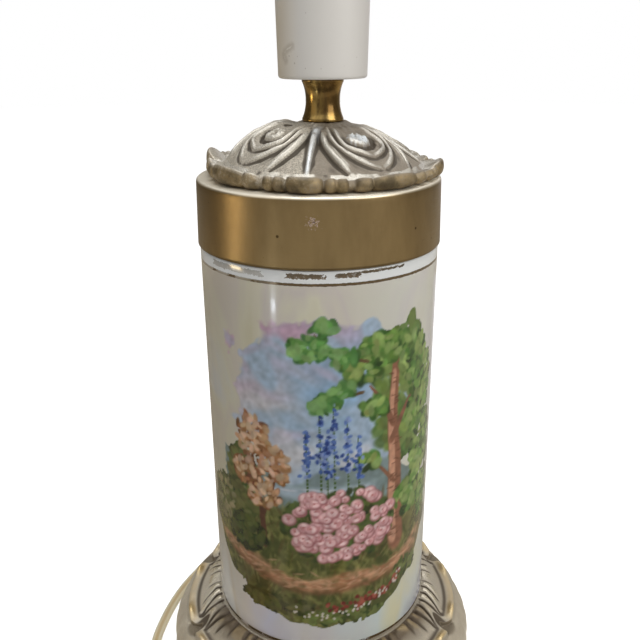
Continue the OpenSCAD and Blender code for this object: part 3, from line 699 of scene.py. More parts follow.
def makePorcelain():
    # profile of foot, wall, rim and inside carried round the axis, in a close grid under the print
    p = porcelainSet
    reach = p["printHalf"] / p["radius"]
    u = np.arange(-p["printHalf"], p["printHalf"], p["cell"])
    rest = np.linspace(reach, 2 * np.pi - reach, p["backColumns"], endpoint=False)
    angle = np.concatenate([u / p["radius"], rest]) - np.pi / 2
    z = np.arange(p["printLow"], p["printHigh"], p["cell"])
    low, high, e, r = heights["body"], heights["bodyTop"], p["edge"], p["radius"]
    q = np.linspace(0, np.pi / 2, 6)
    bottom = [(p["hole"], low), (20, low), (r - 6, low)]
    foot = np.column_stack([r - e + e * np.sin(q), low + e - e * np.cos(q)])
    wallLow = [(r, low + e + 0.4), (r, low + 4), (r, p["printLow"] - 0.6)]
    wall = np.column_stack([np.full(len(z), r), z])
    # the rim is drawn in under the collar
    neck = r - p["rebate"]
    wallHigh = [(r, v) for v in (215, 218, 222, 226, 229.5)]
    wallHigh += [(r - 0.15, 229.9), (neck + 0.1, 229.9)]
    wallHigh += [(neck, v) for v in (230.1, 240, high - e - 0.4)]
    rim = np.column_stack([neck - e + e * np.cos(q), high - e + e * np.sin(q)])
    i, floor = r - p["wall"], low + p["wall"]
    inside = [(i + 0.6, high), (i, high - 0.6), (i, floor + 0.5), (i - 0.5, floor), (p["hole"], floor)]
    profile = np.vstack([bottom, foot, wallLow, wall, wallHigh, rim, inside])
    start = len(bottom) + len(foot) + len(wallLow)
    grid = around(profile[None, :, 0], angle, profile[None, :, 1])
    tone, cover = paintGarden(u, z, p["seed"])
    paint = np.ones((len(angle), len(profile), 4))
    held = np.zeros((len(angle), len(profile)))
    paint[:len(u), start:start + len(z), :3] = linear(tone * 255 * np.array(p["ink"]))
    held[:len(u), start:start + len(z)] = cover
    makePiece("porcelain_cylinder", grid, quadGrid(len(angle), len(profile)), lustreGlaze(),
              ("porcelain_body",), {"paint": paint, "cover": held})


makePorcelain()
print("porcelain painted")

# brass: satin collar and polished neck

collarSet = {"outer": 54.1, "sheet": 1.2, "tall": 28.8, "round": 1.5, "flare": 0.7, "columns": 240}
neckSet = {"tall": 17.65, "waist": 7.4, "flare": 1.6, "power": 2.2, "columns": 160}
brassSet = {"collar": (160, 139, 101), "collarDark": (136, 117, 84), "neck": (157, 131, 79),
            "neckDark": (97, 78, 47), "scuff": (-2.4, -54.4, 249.6), "darkReflectionX": 4.8,
            "specks": (((-16.1, -51.8, 243.6), 0.8), ((39.0, -37.7, 243.2), 0.7))}


def satinBrass():
    # brushed rings over aged tones, dark specks, one flaked scuff, a pale crust on the shoulder and a
    # painted highlight along its rounded edge
    material, tree = newMaterial("satinBrass", {"Metallic": 1.0})
    brush = tree.noise(5.0, 3.0, 0.7, stretch=(0.02, 0.02, 1))
    age = tree.noise(0.05, 4.0, 0.6, stretch=(1, 1, 0.35))
    tone = tree.blend(tree.span(age, 0.35, 0.7), brassSet["collarDark"], brassSet["collar"])
    tone = tree.blend(tree.span(brush, 0.3, 0.75, 0.0, 0.3), tone, (158, 132, 92))
    spots = tree.noise(0.35, 2.0, 0.5)
    tone = tree.blend(tree.span(spots, 0.73, 0.78, 0.0, 0.7), tone, (64, 48, 30))
    for spot, wide in brassSet["specks"]:
        near = tree.distance(spot)
        tone = tree.blend(tree.span(near, 0.6 * wide, wide, 0.8, 0.0), tone, (58, 44, 28))
    far = tree.distance(brassSet["scuff"])
    flake = tree.less(tree.noise(0.9, 3.0, 0.6, 0.8), tree.times(far, 0.055))
    tone = tree.blend(tree.span(flake, 0.44, 0.47, 0.0, 0.85), tone, (222, 202, 194))
    tone = tree.blend(tree.span(flake, 0.52, 0.54, 0.0, 0.8), tone, (70, 48, 40))
    high = tree.axis("Z")
    top = heights["crown"]
    # pale line round the rounded shoulder: crust, and a painted highlight along the edge
    tone = tree.blend(tree.span(high, top - 1.5, top - 0.6, 0.0, 0.9), tone, (232, 222, 200))
    crust = tree.span(high, top - 0.8, top - 0.1)
    tone = tree.blend(crust, tone, (244, 236, 218))
    tree.feed("Base Color", tone)
    tree.feed("Metallic", tree.less(1.0, tree.times(crust, 0.8)))
    tree.feed("Roughness", tree.span(brush, 0.2, 0.8, 0.27, 0.41))
    tree.relief(brush, 0.03, 0.5)
    return material


def polishedBrass():
    # dark and light runs down the neck, and one painted dark reflection on its right
    material, tree = newMaterial("polishedBrass", {"Metallic": 1.0})
    drip = tree.noise(0.22, 4.0, 0.6, stretch=(1, 1, 0.25))
    tone = tree.ramp(drip, [(0.32, brassSet["neckDark"]), (0.5, brassSet["neck"]), (0.72, (176, 138, 72))])
    # painted reflection: a dark band down the right of the neck, above its foot
    off = tree.sums("ABSOLUTE", tree.less(tree.axis("X"), brassSet["darkReflectionX"]))
    above = tree.span(tree.axis("Z"), heights["neck"] + 2.5, heights["neck"] + 4.9)
    streak = tree.times(tree.span(off, 1.6, 4.4, 0.75, 0.0), above)
    tree.feed("Base Color", tree.blend(streak, tone, (84, 62, 38)))
    tree.feed("Roughness", tree.span(tree.noise(0.9, 3.0), 0.3, 0.7, 0.14, 0.26))
    tree.relief(tree.noise(6.0, 2.0, stretch=(0.03, 0.03, 1)), 0.01, 0.4)
    return material


def makeCollar():
    # profile of a wall that widens downwards, a rounded shoulder and a flat plate, carried round the axis
    c = collarSet
    o, top, sheet, rnd = c["outer"], heights["crown"], c["sheet"], c["round"]
    i, low = o - sheet, top - c["tall"]
    q = np.linspace(0, np.pi / 2, 10)
    outer = np.column_stack([o - rnd + rnd * np.cos(q), top - rnd + rnd * np.sin(q)])
    inner = np.column_stack([i - 0.3 + 0.3 * np.sin(q), top - sheet - 0.3 + 0.3 * np.cos(q)])
    b = o + c["flare"]
    rows = np.linspace(low + 1.2, top - rnd - 0.3, 14)
    wall = np.column_stack([b - c["flare"] * (rows - low) / c["tall"], rows])
    lower = [(b - sheet, low + 0.2), (b - sheet + 0.15, low), (b - 0.2, low), (b, low + 0.25)]
    plate = [(o - rnd - 1, top), (40, top), (stemHole, top), (stemHole, top - sheet), (40, top - sheet)]
    points, quads = turned(np.vstack([lower, wall, outer, plate, inner]), c["columns"])
    # the hole for the stem lies off the axis
    first = len(lower) + len(wall) + len(outer) + 2
    a = np.arange(c["columns"]) * 2 * np.pi / c["columns"]
    hole = stemCircle(stemHole, a)
    points[:, first:first + 2, 0] = (hole * np.cos(a))[:, None]
    points[:, first:first + 2, 1] = (hole * np.sin(a))[:, None]
    makePiece("satin_collar", points, quads, satinBrass(), ("brass_collar",))


def makeNeck():
    # spool: the radius grows from the waist with a power of the distance from half height
    c = neckSet
    low = heights["neck"] + 0.15
    top = low + c["tall"]
    end = c["waist"] + c["flare"]
    q = np.linspace(0, 1, 40)
    waist = np.column_stack([c["waist"] + c["flare"] * np.abs(2 * q - 1) ** c["power"],
                             low + 1.2 + (c["tall"] - 2.4) * q])
    profile = np.vstack([[(stemBore, low), (end - 0.3, low), (end, low + 0.25), (end, low + 0.8)], waist,
                         [(end, top - 0.8), (end, top - 0.25), (end - 0.3, top), (stemBore, top)]])
    points, quads = turned(profile, c["columns"], stemX)
    makePiece("brass_neck", points, quads, polishedBrass(), ("neck_spool",))


makeCollar()
makeNeck()
print("collar and neck turned")

# crown casting: four palmettes round a dome, a lip of lobes

crownSet = {"columns": 640, "turn": -9, "pad": 9.6, "valley": 44.4, "rim": 52.3, "rows": 104, "seed": 5,
            "domeFoot": 6.0, "domeRise": 16.7, "domePower": 1.9, "eye": (0.44, 5.2, 4.4),
            "under": ((stemHole, 22.7), (stemHole, 16.7), (13, 16.7), (28, 10), (37.9, 0.15)),
            "leaves": ((2.3, 5.6, [(0.86, 0.03), (0.85, 0.16), (0.85, 0.34), (0.83, 0.48), (0.77, 0.62),
                                   (0.68, 0.75), (0.58, 0.86), (0.48, 0.95)]),
                       (1.5, 4.4, [(0.70, 0.03), (0.71, 0.22), (0.69, 0.42), (0.60, 0.57), (0.47, 0.69),
                                   (0.34, 0.775), (0.20, 0.845), (0.07, 0.89)]),
                       (1.8, 3.2, [(0.50, 0.04), (0.54, 0.20), (0.53, 0.40), (0.47, 0.55), (0.37, 0.64),
                                   (0.2, 0.695), (0.0, 0.74)])),
            "lobes": ((0, 13.5, 1.0, 2.4), (17.2, 4.2, 0.75, 1.5), (27.7, 2.7, 0.7, 1.3),
                      (33, 2.6, 0.75, 1.6), (45, 8.4, 1.2, 4.2)),
            "bronze": ((0, 14, 1.0), (17.2, 4.4, 0.9), (27.7, 2.8, 1.0), (33, 2.7, 0.95), (45, 8.6, 1.0)),
            # eye patches on each leaf: worn silver with painted light, strongest on the front-right leaf
            # and none on the left-front
            "wearAndPaintedLight": (0.9, 0.4, 0.3, 0.0), "patina": (1.05, 0.55, 0.4, 0.0), "pit": (-13.0, -4.8, 1.7),
            "leanLeft": 0.145, "leanRight": 0.2,
            "tones": {"hollow": (150, 142, 128), "stipple": (212, 204, 188), "groove": (70, 60, 45),
                      "rubbedAndLit": (222, 218, 208), "bronze": (98, 86, 63), "bronzeLight": (170, 149, 110),
                      "shine": (220, 226, 230), "patina": (128, 116, 100)}}


def halfLeaf(t, s, curves, halfAngle, radius, slope):
    # folds on one half leaf: each is steep on its outer side and falls softly towards the leaf's middle
    x = np.radians(halfAngle) * t * radius
    total = np.zeros_like(x)
    for deep, soft, line in curves:
        q = smoothPath(line, 10)
        lr = np.interp(q[:, 1], s[0], radius[0])
        lx = np.radians(halfAngle) * q[:, 0] * lr
        ly = np.interp(q[:, 1], s[0], slope[0])
        d, run = sideDistance(x, slope, np.column_stack([lx, ly]))
        fade = smooth(-0.08, 0.4, run) * (1 - 0.7 * smooth(0.8, 1.0, run))
        rise = smooth(-0.9, 0.3, d) * (1 - smooth(0.4, 0.4 + soft, d))
        groove = np.exp(-((d + 1.25) / 0.8) ** 2)
        vein = np.exp(-((d - 2.1) / 0.42) ** 2) * smooth(0.1, 0.4, run)
        total += fade * deep * (rise - 0.5 * groove - 0.2 * vein)
    return total


def spread(half, columns, n):
    # a half leaf mirrored and repeated n times round the stem
    k = np.arange(columns) % (columns // n)
    h = columns // n // 2
    return half[np.where(k < h, h - 1 - k, k - h)]


def castMetal(name, tones):
    # silver-grey deposit in the hollows with painted shade in the grooves, rubbed metal with a painted
    # highlight on the crests, bare bronze on the lip
    material, tree = newMaterial(name, {"IOR": 1.6})
    stipple = tree.span(tree.noise(1.5, 3.0, 0.75), 0.34, 0.66)
    broad = tree.noise(0.09, 4.0, 0.6)
    crest = tree.field("crest")
    lip = tree.field("lip")
    shine = tree.field("gilt")
    hollow = tree.blend(stipple, tones["hollow"], tones["stipple"])
    hollow = tree.blend(tree.times(tree.field("patina"), 0.7), hollow, tones["patina"])
    # painted shade: the grooves darken to dark brown where the relief sinks below its surroundings
    hollow = tree.blend(tree.span(crest, -0.6, -0.05, 0.92, 0.0), hollow, tones["groove"])
    # crests lighten: rubbed metal, and a painted highlight
    rubbedAndLit = tree.blend(tree.span(crest, 0.12, 0.8, 0.0, 0.7), hollow, tones["rubbedAndLit"])
    bronze = tree.blend(tree.span(broad, 0.35, 0.65), tones["bronze"], tones["bronzeLight"])
    crust = tree.plus(broad, tree.times(stipple, 0.2))
    dirty = tree.times(lip, tree.span(crust, 0.6, 0.84, 1.0, 0.3))
    tone = tree.blend(dirty, rubbedAndLit, bronze)
    # worn silver on the crown and gilt on the base, which also carry painted highlights and glints
    wearAndPaintedLight = tree.times(shine, tree.span(broad, 0.3, 0.6, 0.5, 1.0))
    tone = tree.blend(wearAndPaintedLight, tone, tones["shine"])
    tree.feed("Base Color", tone)
    shiny = tree.span(crest, 0.15, 0.6, 0.0, 0.8)
    bare = tree.most(tree.times(lip, 0.6), tree.most(wearAndPaintedLight, shiny))
    tree.feed("Metallic", tree.span(bare, 0.0, 1.0, 0.2, 0.85))
    tree.feed("Roughness", tree.span(tree.less(stipple, bare), -0.9, 0.8, 0.26, 0.6))
    tree.relief(tree.plus(stipple, tree.times(broad, 1.2)), 0.14, 0.6)
    return material


def makeCrown():
    # dome that falls with a power of the way out, plus the relief of one half leaf, mirrored and repeated;
    # the lip is a smooth line in every column, further out and higher where a lobe is
    c = crownSet
    n = c["columns"]
    h = n // 8
    t = ((np.arange(h) + 0.5) / h)[:, None] * np.ones(c["rows"])
    s = np.linspace(0, 1, c["rows"])[None, :] * np.ones((h, 1))
    r = c["pad"] + (c["valley"] - c["pad"]) * s
    dome = c["domeFoot"] + c["domeRise"] * (1 - s ** c["domePower"])
    slope = np.concatenate([np.zeros((h, 1)), np.cumsum(np.hypot(np.diff(r), np.diff(dome)), 1)], 1)
    lift = halfLeaf(t, s, c["leaves"], 45, r, slope)
    x = np.radians(45) * t * r
    # eye boss in the middle of the leaf, with a deep crescent sunk below it
    at, wide, tall = c["eye"]
    eye = np.hypot(x / wide, (slope - np.interp(at, s[0], slope[0])) / tall)
    crescent = np.exp(-((eye - 1.3) / 0.28) ** 2) * smooth(0.34, 0.5, s)
    lift = lift * smooth(0.9, 1.5, eye) + 0.8 * smooth(1.1, 0.75, eye) - 1.8 * crescent
    # tapering rib between the leaves
    off = np.radians(45) * (1 - t) * r
    rib = np.exp(-(off / (1.9 - 1.2 * s)) ** 4) * (1 - smooth(0.9, 0.99, s))
    gutter = np.exp(-((off - 2.7 + 1.1 * s) / 0.8) ** 2) * (1 - smooth(0.75, 0.97, s))
    lift = lift * (1 - rib) + 1.5 * rib * smooth(0.0, 0.3, s) - 0.6 * gutter
    lift *= smooth(-0.05, 0.34, s) * (1 - 0.65 * smooth(0.92, 1, s))
    # painted highlight along the rib
    ribHighlight = rib * smooth(0.05, 0.2, s)
    patch = smooth(1.0, 0.7, eye + 0.16 * np.sin(3 * x) * np.cos(2 * slope))
    rng = np.random.default_rng(c["seed"])
    full = spread(lift, n, 4) + 0.12 * cloudNoise((n, c["rows"]), 7, rng)
    full += 0.3 * spread(patch, n, 4) * cloudNoise((n, c["rows"]), 3, rng)
    top = spread(dome, n, 4) - 1.2 * smooth(0, 0.12, spread(s, n, 4)) + full
    a = np.radians(c["turn"] - 90) + (np.arange(n) + 0.5) * 2 * np.pi / n
    ring = spread(r, n, 4)
    # a casting pit beside the neck
    pitX, pitY, pitWide = c["pit"]
    far = np.hypot(ring * np.cos(a)[:, None] + stemX - pitX, ring * np.sin(a)[:, None] - pitY)
    pit = np.exp(-(far / pitWide) ** 4)
    top = top - 1.2 * pit
    fold = np.abs((np.arange(n) + 0.5) % (n // 4) - n / 8) * 360 / n
    b = np.max([amp * hump(fold - at, w) for at, w, amp, up in c["lobes"]], 0)
    up = np.max([rise * hump(fold - at, w) for at, w, amp, rise in c["lobes"]], 0)
    # the front lobe is bent down
    up *= 1 - 0.6 * np.exp(-((np.degrees(np.arctan2(np.sin(a), np.cos(a))) - c["turn"] + 90) / 12) ** 2)
    edge = c["rim"] - 3.2 * (1 - b)
    tip = 5.2 + up
    pairs = [(c["rim"] - 6.5, 0.15), (edge - 2.4, 0.5), (edge - 0.7, 1.9), (edge, 0.52 * tip),
             (edge - 0.35, tip - 1.3), (edge - 1.4, tip), (edge - 2.7, tip - 0.7),
             (c["valley"] + 1.6, top[:, -1] + 0.25 * up), (ring[:, -1], top[:, -1])]
    lipRows = columnLines(pairs, n, 5)
    domeRows = np.stack([ring, top], -1)[:, ::-1]
    under = np.array(c["under"])
    section = np.concatenate([np.repeat(under[None], n, 0), lipRows, domeRows], 1)
    # the old casting stands higher on its left than on its right, with its seats level
    leanAt = np.where(np.cos(a) < 0, c["leanLeft"], c["leanRight"]) * np.cos(a)
    lean = leanAt[:, None] * section[..., 0] / c["rim"] * smooth(8, 24, section[..., 0])
    lean[:, :len(under)] = 0
    section[..., 1] *= 1 - lean
    points = around(section[..., 0], a, section[..., 1] + heights["crown"], stemX)
    m = lipRows.shape[1]
    bulge = np.zeros(section.shape[:2])
    bulge[:, -c["rows"]:] = full[:, ::-1]
    # crest: relief below its surroundings is painted in shade, relief above them rubbed and lit
    crest = np.clip((bulge - blurRows(bulge, 3)) * 0.9 + (bulge - blurRows(bulge, 12)) * 0.7, -1, 1)
    # painted shade in the pit
    crest[:, -c["rows"]:] -= 1.6 * pit[:, ::-1]
    lip = np.zeros(section.shape[:2])
    faces = [amount * (np.abs(fold - at) < w) for at, w, amount in c["bronze"]]
    face = np.max([0.5 + 0 * fold] + faces, 0)
    fade = np.interp(np.arange(m), [0, 20, 25, 29], [1, 1, 0.3, 0])
    lip[:, len(under):len(under) + m] = face[:, None] * fade
    pale = 0.55 + 0.35 * cloudNoise((n, m + 6), 5, rng)
    crest[:, len(under) + 24:len(under) + m + 6] = pale[:, 24:]
    # silver: a painted highlight down the rib that faces the front, and worn eye patches that also carry
    # painted light
    silver = np.zeros(section.shape[:2])
    leaf = np.arange(n) * 4 // n
    front = (0.5 + 0.5 * np.cos(np.arange(n) * 2 * np.pi / n)) ** 3
    silver[:, -c["rows"]:] = np.maximum(spread(ribHighlight, n, 4) * front[:, None],
                                        spread(patch, n, 4) * np.array(c["wearAndPaintedLight"])[leaf][:, None])[:, ::-1]
    patina = np.array(c["patina"])[leaf]
    patina = blurRows(np.repeat(patina[:, None], section.shape[1], 1), 9)
    fields = {"crest": crest, "lip": lip, "gilt": silver, "patina": patina}
    makePiece("crown_leaves", points, quadGrid(n, section.shape[1]), castMetal("crownCasting", c["tones"]),
              ("crown_casting",), fields)


makeCrown()
print("crown cast")

# base casting: eight leaves with grooved feet, upturned edges and curled corners over a rounded lower tier

baseSet = {"columns": 864, "leafSeat": 57.0, "leafEdge": 71.8, "notch": 5.4, "rim": 80.5, "rows": 64,
           "seed": 9,
           "fall": ((54.5, 39.9), (57, 39.5), (60, 37.7), (63, 35.0), (66, 31.6), (68, 29.8), (70, 28.6),
                    (72, 27.9)),
           "tier": ((58, 26.4), (66, 27.0), (70, 27.6), (72, 28.2), (73.6, 28.1), (75, 27.0), (76.5, 25.0),
                    (78, 22.2)),
           "under": ((stemHole, heights["seat"]), (stemHole, 35), (44, 35), (51, 32.5), (60, 28.5),
                     (66.8, 22.5), (71, 15)),
           "grooves": ((0.20, 0.02, 0.6), (0.42, 0.22, 1.3), (0.65, 0.24, 1.9), (0.90, -0.08, 1.8)),
           "edgeRise": 3.2, "curlRise": 2.2, "curlAt": 0.58, "curlWide": 0.15, "flutes": 56,
           "fluteDeep": 0.22, "slotHalf": 4.8, "slotAt": 76.5, "slotTop": 11.0, "footShadeFrom": 68.0,
           "footShadeWide": 9.0,
           "tones": {"hollow": (216, 207, 190), "stipple": (236, 228, 210), "groove": (72, 58, 40),
                     "rubbedAndLit": (244, 236, 214), "bronze": (188, 173, 147), "bronzeLight": (222, 208, 179),
                     "shine": (226, 200, 146), "patina": (108, 92, 70)}}


def leafEdge(t):
    # outline of a leaf: round, and drawn in to the gap between two leaves
    return baseSet["leafEdge"] - baseSet["notch"] * smooth(0.78, 1.0, t) ** 1.5


def footGrooves(t, s, r):
    # rounded fingers between grooves that start at the cylinder's foot and lean with s: each groove is a
    # narrow hollow, the finger between two of them swells a little
    near = np.full(t.shape, 9.0)
    deep = np.zeros(t.shape)
    for start, lean, depth in baseSet["grooves"]:
        gap = np.abs(t - start - lean * np.maximum(s, 0)) * np.radians(22.5) * r
        deep = np.where(gap < near, depth, deep)
        near = np.minimum(near, gap)
    fade = 1 - smooth(0.05 + 0.22 * deep, 0.25 + 0.27 * deep, s)
    return fade * (0.7 * (1 - np.exp(-(near / 1.5) ** 2)) - deep * np.exp(-(near / 0.8) ** 2))


def makeBase():
    # leaves that fall along a drawn curve, with the relief of one half leaf mirrored and repeated on them;
    # the tier under them is a smooth line in every column
    c = baseSet
    n = c["columns"]
    h = n // 16
    t = ((np.arange(h) + 0.5) / h)[:, None] * np.ones(c["rows"])
    s = np.linspace(-0.16, 1, c["rows"])[None, :] * np.ones((h, 1))
    r = c["leafSeat"] + (leafEdge(t) - c["leafSeat"]) * s
    curve = smoothPath(c["fall"], 8)
    fall = np.interp(r, curve[:, 0], curve[:, 1])
    grooves = footGrooves(t, s, r)
    # upturned edge, highest where it curls at the corner and gone in the gap
    back = leafEdge(t) - r
    curl = np.exp(-((t - c["curlAt"]) / c["curlWide"]) ** 2)
    edgeIn = 1 - smooth(0.78, 0.94, t)
    turnUp = smooth(6.2, 0.5, back)
    lift = (c["edgeRise"] * edgeIn + c["curlRise"] * curl * smooth(3.8, 0.6, back)) * turnUp
    rng = np.random.default_rng(c["seed"])
    uneven = np.clip(0.8 + 0.35 * cloudNoise((n, c["rows"]), 16, rng), 0.15, 1.2)
    grooves = spread(grooves, n, 8) * uneven
    full = spread(lift, n, 8) + 0.07 * cloudNoise((n, c["rows"]), 7, rng)
    full += grooves * spread(smooth(-0.17, -0.1, s), n, 8)
    top = spread(fall, n, 8) + full
    ring = spread(r, n, 8)
    fold = np.abs((np.arange(n) + 0.5) % (n // 8) - n / 16) * 8 / n * 2
    edge = leafEdge(fold)
    brim = top[:, -1]
    rim = c["rim"] - 0.5 * (1 - np.abs(np.cos(np.pi * fold))) ** 2
    line = smoothPath(c["tier"], 6)
    shoulder = np.maximum(73.4, edge + 1.5)
    shelf = np.interp(shoulder, line[:, 0], line[:, 1])
    ledge = np.interp(edge + 0.8, line[:, 0], line[:, 1])
    gapIn = smooth(0.8, 0.95, fold)
    # soft upright flutes on the tier
    flute = c["fluteDeep"] * np.cos(np.arange(n) * 2 * np.pi * c["flutes"] / n)
    pairs = [(71.5, 1.65), (rim - 2.2, 1.65), (rim - 1.1, 2.6), (rim - 0.8, 5.5), (rim - 0.3, 9.5),
             (rim, 13.5), (rim - 0.6 + 0.5 * flute, 17.6), (rim - 2.3 + flute, 22.0),
             (rim - 4.9 + flute, 26.4), (shoulder, shelf + 0.3),
             (edge + 0.8, np.maximum(ledge, brim - 2.4 - 2.4 * gapIn)), (edge + 0.6, brim - 1.0),
             (edge + 0.3, brim - 0.25), (edge, brim)]
    lipRows = columnLines(pairs, n, 3)
    domeRows = np.stack([ring, top], -1)[:, ::-1]
    a = np.radians(-22.5) + (np.arange(n) + 0.5) * 2 * np.pi / n
    low = np.repeat(np.array(c["under"])[None], n, 0)
    low[:, :2, 0] = stemCircle(stemHole, a)[:, None]
    seatRows = np.broadcast_to(np.array([(54, heights["seat"]), (40, heights["seat"])]), (n, 2, 2))
    section = np.concatenate([low, lipRows, domeRows, seatRows], 1)
    # slot for the flex at the back
    slot = np.abs(np.sin(a) - 1) < 1 - math.cos(math.asin(c["slotHalf"] / c["slotAt"]))
    height = np.where(slot[:, None], np.maximum(section[..., 1], c["slotTop"]), section[..., 1])
    points = around(section[..., 0], a, height)
    first = len(c["under"])
    m = lipRows.shape[1]
    leafRows = slice(first + m, first + m + c["rows"])
    # painted shade where two leaves part, in the grooves and in the bend under the upturned edge
    bend = np.exp(-((back - 4.6) / 1.3) ** 2) * edgeIn
    tint = -0.55 * bend - 1.2 * smooth(0.86, 0.97, t) * smooth(0.45, 0.8, s)
    crest = np.zeros(section.shape[:2])
    # and painted shade, brown, next to the cylinder, in front and behind
    ends = smooth(0.2, 0.55, np.abs(np.sin(a)))[:, None]
    footShade = np.clip((c["footShadeFrom"] - ring) / c["footShadeWide"], 0, 1) * ends
    wearAndPaintedLight = (spread(tint, n, 8) + 1.1 * grooves) * (1 - 0.7 * footShade) - 0.3 * footShade
    crest[:, leafRows] = np.clip(wearAndPaintedLight, -1, 0.6)[:, ::-1]
    run = np.arange(m)
    gap = smooth(0.8, 0.93, fold)[:, None]
    lip = np.zeros(section.shape[:2])
    lip[:, first:first + m] = np.interp(run, [0, 15, 25, 30, m], [0.5, 0.45, 0.3, 0.35, 0.3])
    # painted shade on the tier under the leaves' edges, deepest in the gaps between leaves
    under = np.interp(run, [0, 24, 28, 33, m], [0, 0, 0.9, 0.7, 0.0])
    gapShade = np.interp(run, [0, 28, 33, m], [0, 0, 1, 1])
    crest[:, first:first + m] = 0.05 - (0.35 + 0.65 * gap) * under - gap * gapShade
    gilt = np.zeros(section.shape[:2])
    corner = np.exp(-((fold - c["curlAt"]) / c["curlWide"]) ** 2)
    amount = (0.5 + 0.5 * corner)[:, None] * (1 - gap)
    gilt[:, first + m - 6:first + m] = amount * np.linspace(0.2, 1, 6)
    gilt[:, leafRows] = spread(smooth(4.4, 1.6, back) * (1 - smooth(0.8, 0.93, t)), n, 8)[:, ::-1] * amount
    # gold on the fingers next to the cylinder: worn gilt with painted glints
    gilt[:, leafRows] += 0.3 * (footShade * smooth(0.35, 0.65, grooves))[:, ::-1]
    patina = np.repeat(0.48 * (1 + np.cos(a))[:, None] / 2, section.shape[1], 1)
    # the painted shade by the cylinder takes the patina's brown
    patina[:, leafRows] = np.maximum(patina[:, leafRows], 1.4 * footShade[:, ::-1])
    fields = {"crest": crest, "lip": lip, "gilt": gilt, "patina": patina}
    makePiece("base_leaves", points, quadGrid(n, section.shape[1]), castMetal("baseCasting", c["tones"]),
              ("base_casting",), fields)


makeBase()
print("base cast")

# lampholder: white shell with a ring on it, and the rolled thread sleeve

holderSet = {"shell": 36.0, "ring": 21.0, "wall": 2.2, "floor": 3.5, "mouth": 13.7, "columns": 192,
             "footWidth": 37.9, "widening": 0.043, "white": (238, 235, 230), "leftYellow": (228, 214, 190),
             "scratch": ((-10.7, -14.8, 312.6), (-13.3, -12.0, 310.8), (-14.3, -10.7, 309.2),
                         (-13.5, -11.8, 307.0))}
sleeveSet = {"tall": 21.0, "inner": 12.8, "sheet": 0.5, "pitch": 3.6, "swing": 0.38, "runOut": 1.5,
             "columns": 120}


def whitePlastic():
    # white that turns yellow towards its left, with a few specks and a painted shade on its right
    material, tree = newMaterial("whitePlastic", {"Roughness": 0.38, "IOR": 1.48})
    cloud = tree.noise(0.05, 4.0)
    side = tree.axis("X")
    leftYellow = tree.times(tree.span(side, -20.0, -6.0, 1.0, 0.0), tree.span(cloud, 0.3, 0.6, 0.5, 1.0))
    tone = tree.blend(leftYellow, holderSet["white"], holderSet["leftYellow"])
    speck = tree.noise(0.55, 1.0)
    tone = tree.blend(tree.span(speck, 0.76, 0.8, 0.0, 0.5), tone, (150, 138, 118))
    # painted shade: grey towards the right
    tone = tree.blend(tree.span(side, 12.0, 21.0, 0.0, 0.3), tone, (190, 184, 180))
    # a pale scratch in a darker scuff, by the distance from its line: wear, with a painted highlight on
    # the line and painted shade in the scuff, as of a dent
    far = 9.0
    for a, b in zip(holderSet["scratch"], holderSet["scratch"][1:]):
        far = tree.sums("MINIMUM", far, tree.strokeDistance(a, b))
    far = tree.plus(far, tree.span(tree.noise(0.8, 3.0), 0.3, 0.7, -0.2, 0.25))
    tone = tree.blend(tree.span(far, 2.4, 0.5, 0.0, 0.35), tone, (170, 156, 134))
    tone = tree.blend(tree.span(far, 0.5, 0.2, 0.0, 0.8), tone, (240, 234, 224))
    tree.feed("Base Color", tone)
    tree.relief(tree.noise(1.6, 3.0, 0.6), 0.03, 0.3)
    return material


def shellR(z):
    # radius of the shell z mm above its foot: the width grows evenly upwards
    return (holderSet["footWidth"] + holderSet["widening"] * z) / 2


def makeHolder(material):
    # two profiles carried round the stem: a cup that widens upwards and the ring on top of it
    c = holderSet
    tall, up, wall, floor, mouth = c["shell"], c["ring"], c["wall"], c["floor"], c["mouth"]
    b, o = shellR(tall), shellR(tall + up)
    q = np.linspace(0, np.pi / 2, 8)
    corner = np.column_stack([shellR(2) - 1.4 + 1.4 * np.sin(q), 1.4 - 1.4 * np.cos(q)])
    side = [(shellR(v), v) for v in (3, 8, 16, 24, 32, tall - 0.8)]
    cup = np.vstack([[(stemBore, 0), (12, 0)], corner, side,
                     [(b - 0.25, tall - 0.25), (b - 0.6, tall), (b - wall, tall),
                      (shellR(floor) - wall, floor), (stemBore, floor)]])
    top = np.column_stack([o - 2 + 2 * np.cos(q), up - 2 + 2 * np.sin(q)])
    ring = np.vstack([[(b - wall, 0.3), (b - 0.5, 0.3), (b - 0.1, 0.55), (b, 0.9), (b, 3),
                       ((b + o) / 2, 10), (o, up - 4)], top,
                      [(mouth + 0.9, up), (mouth + 0.3, up - 0.2), (mouth, up - 0.8), (mouth, up - 3),
                       (o - wall, up - 3)]])
    for name, profile, foot, node in (("holder_shell", cup, "cup", "holder_cup"),
                                      ("holder_ring", ring, "skirt", "holder_skirt")):
        points, quads = turned(profile + [0, heights[foot]], c["columns"], stemX)
        makePiece(name, points, quads, material, (node,))


def plainMetal(name, low, high, cell, rough):
    # clouded tones, with a finer noise for the roughness
    material, tree = newMaterial(name, {"Metallic": 1.0})
    tree.feed("Base Color", tree.blend(tree.noise(cell, 4.0), low, high))
    tree.feed("Roughness", tree.span(tree.noise(5 * cell, 2.0), 0.3, 0.7, *rough))
    return material


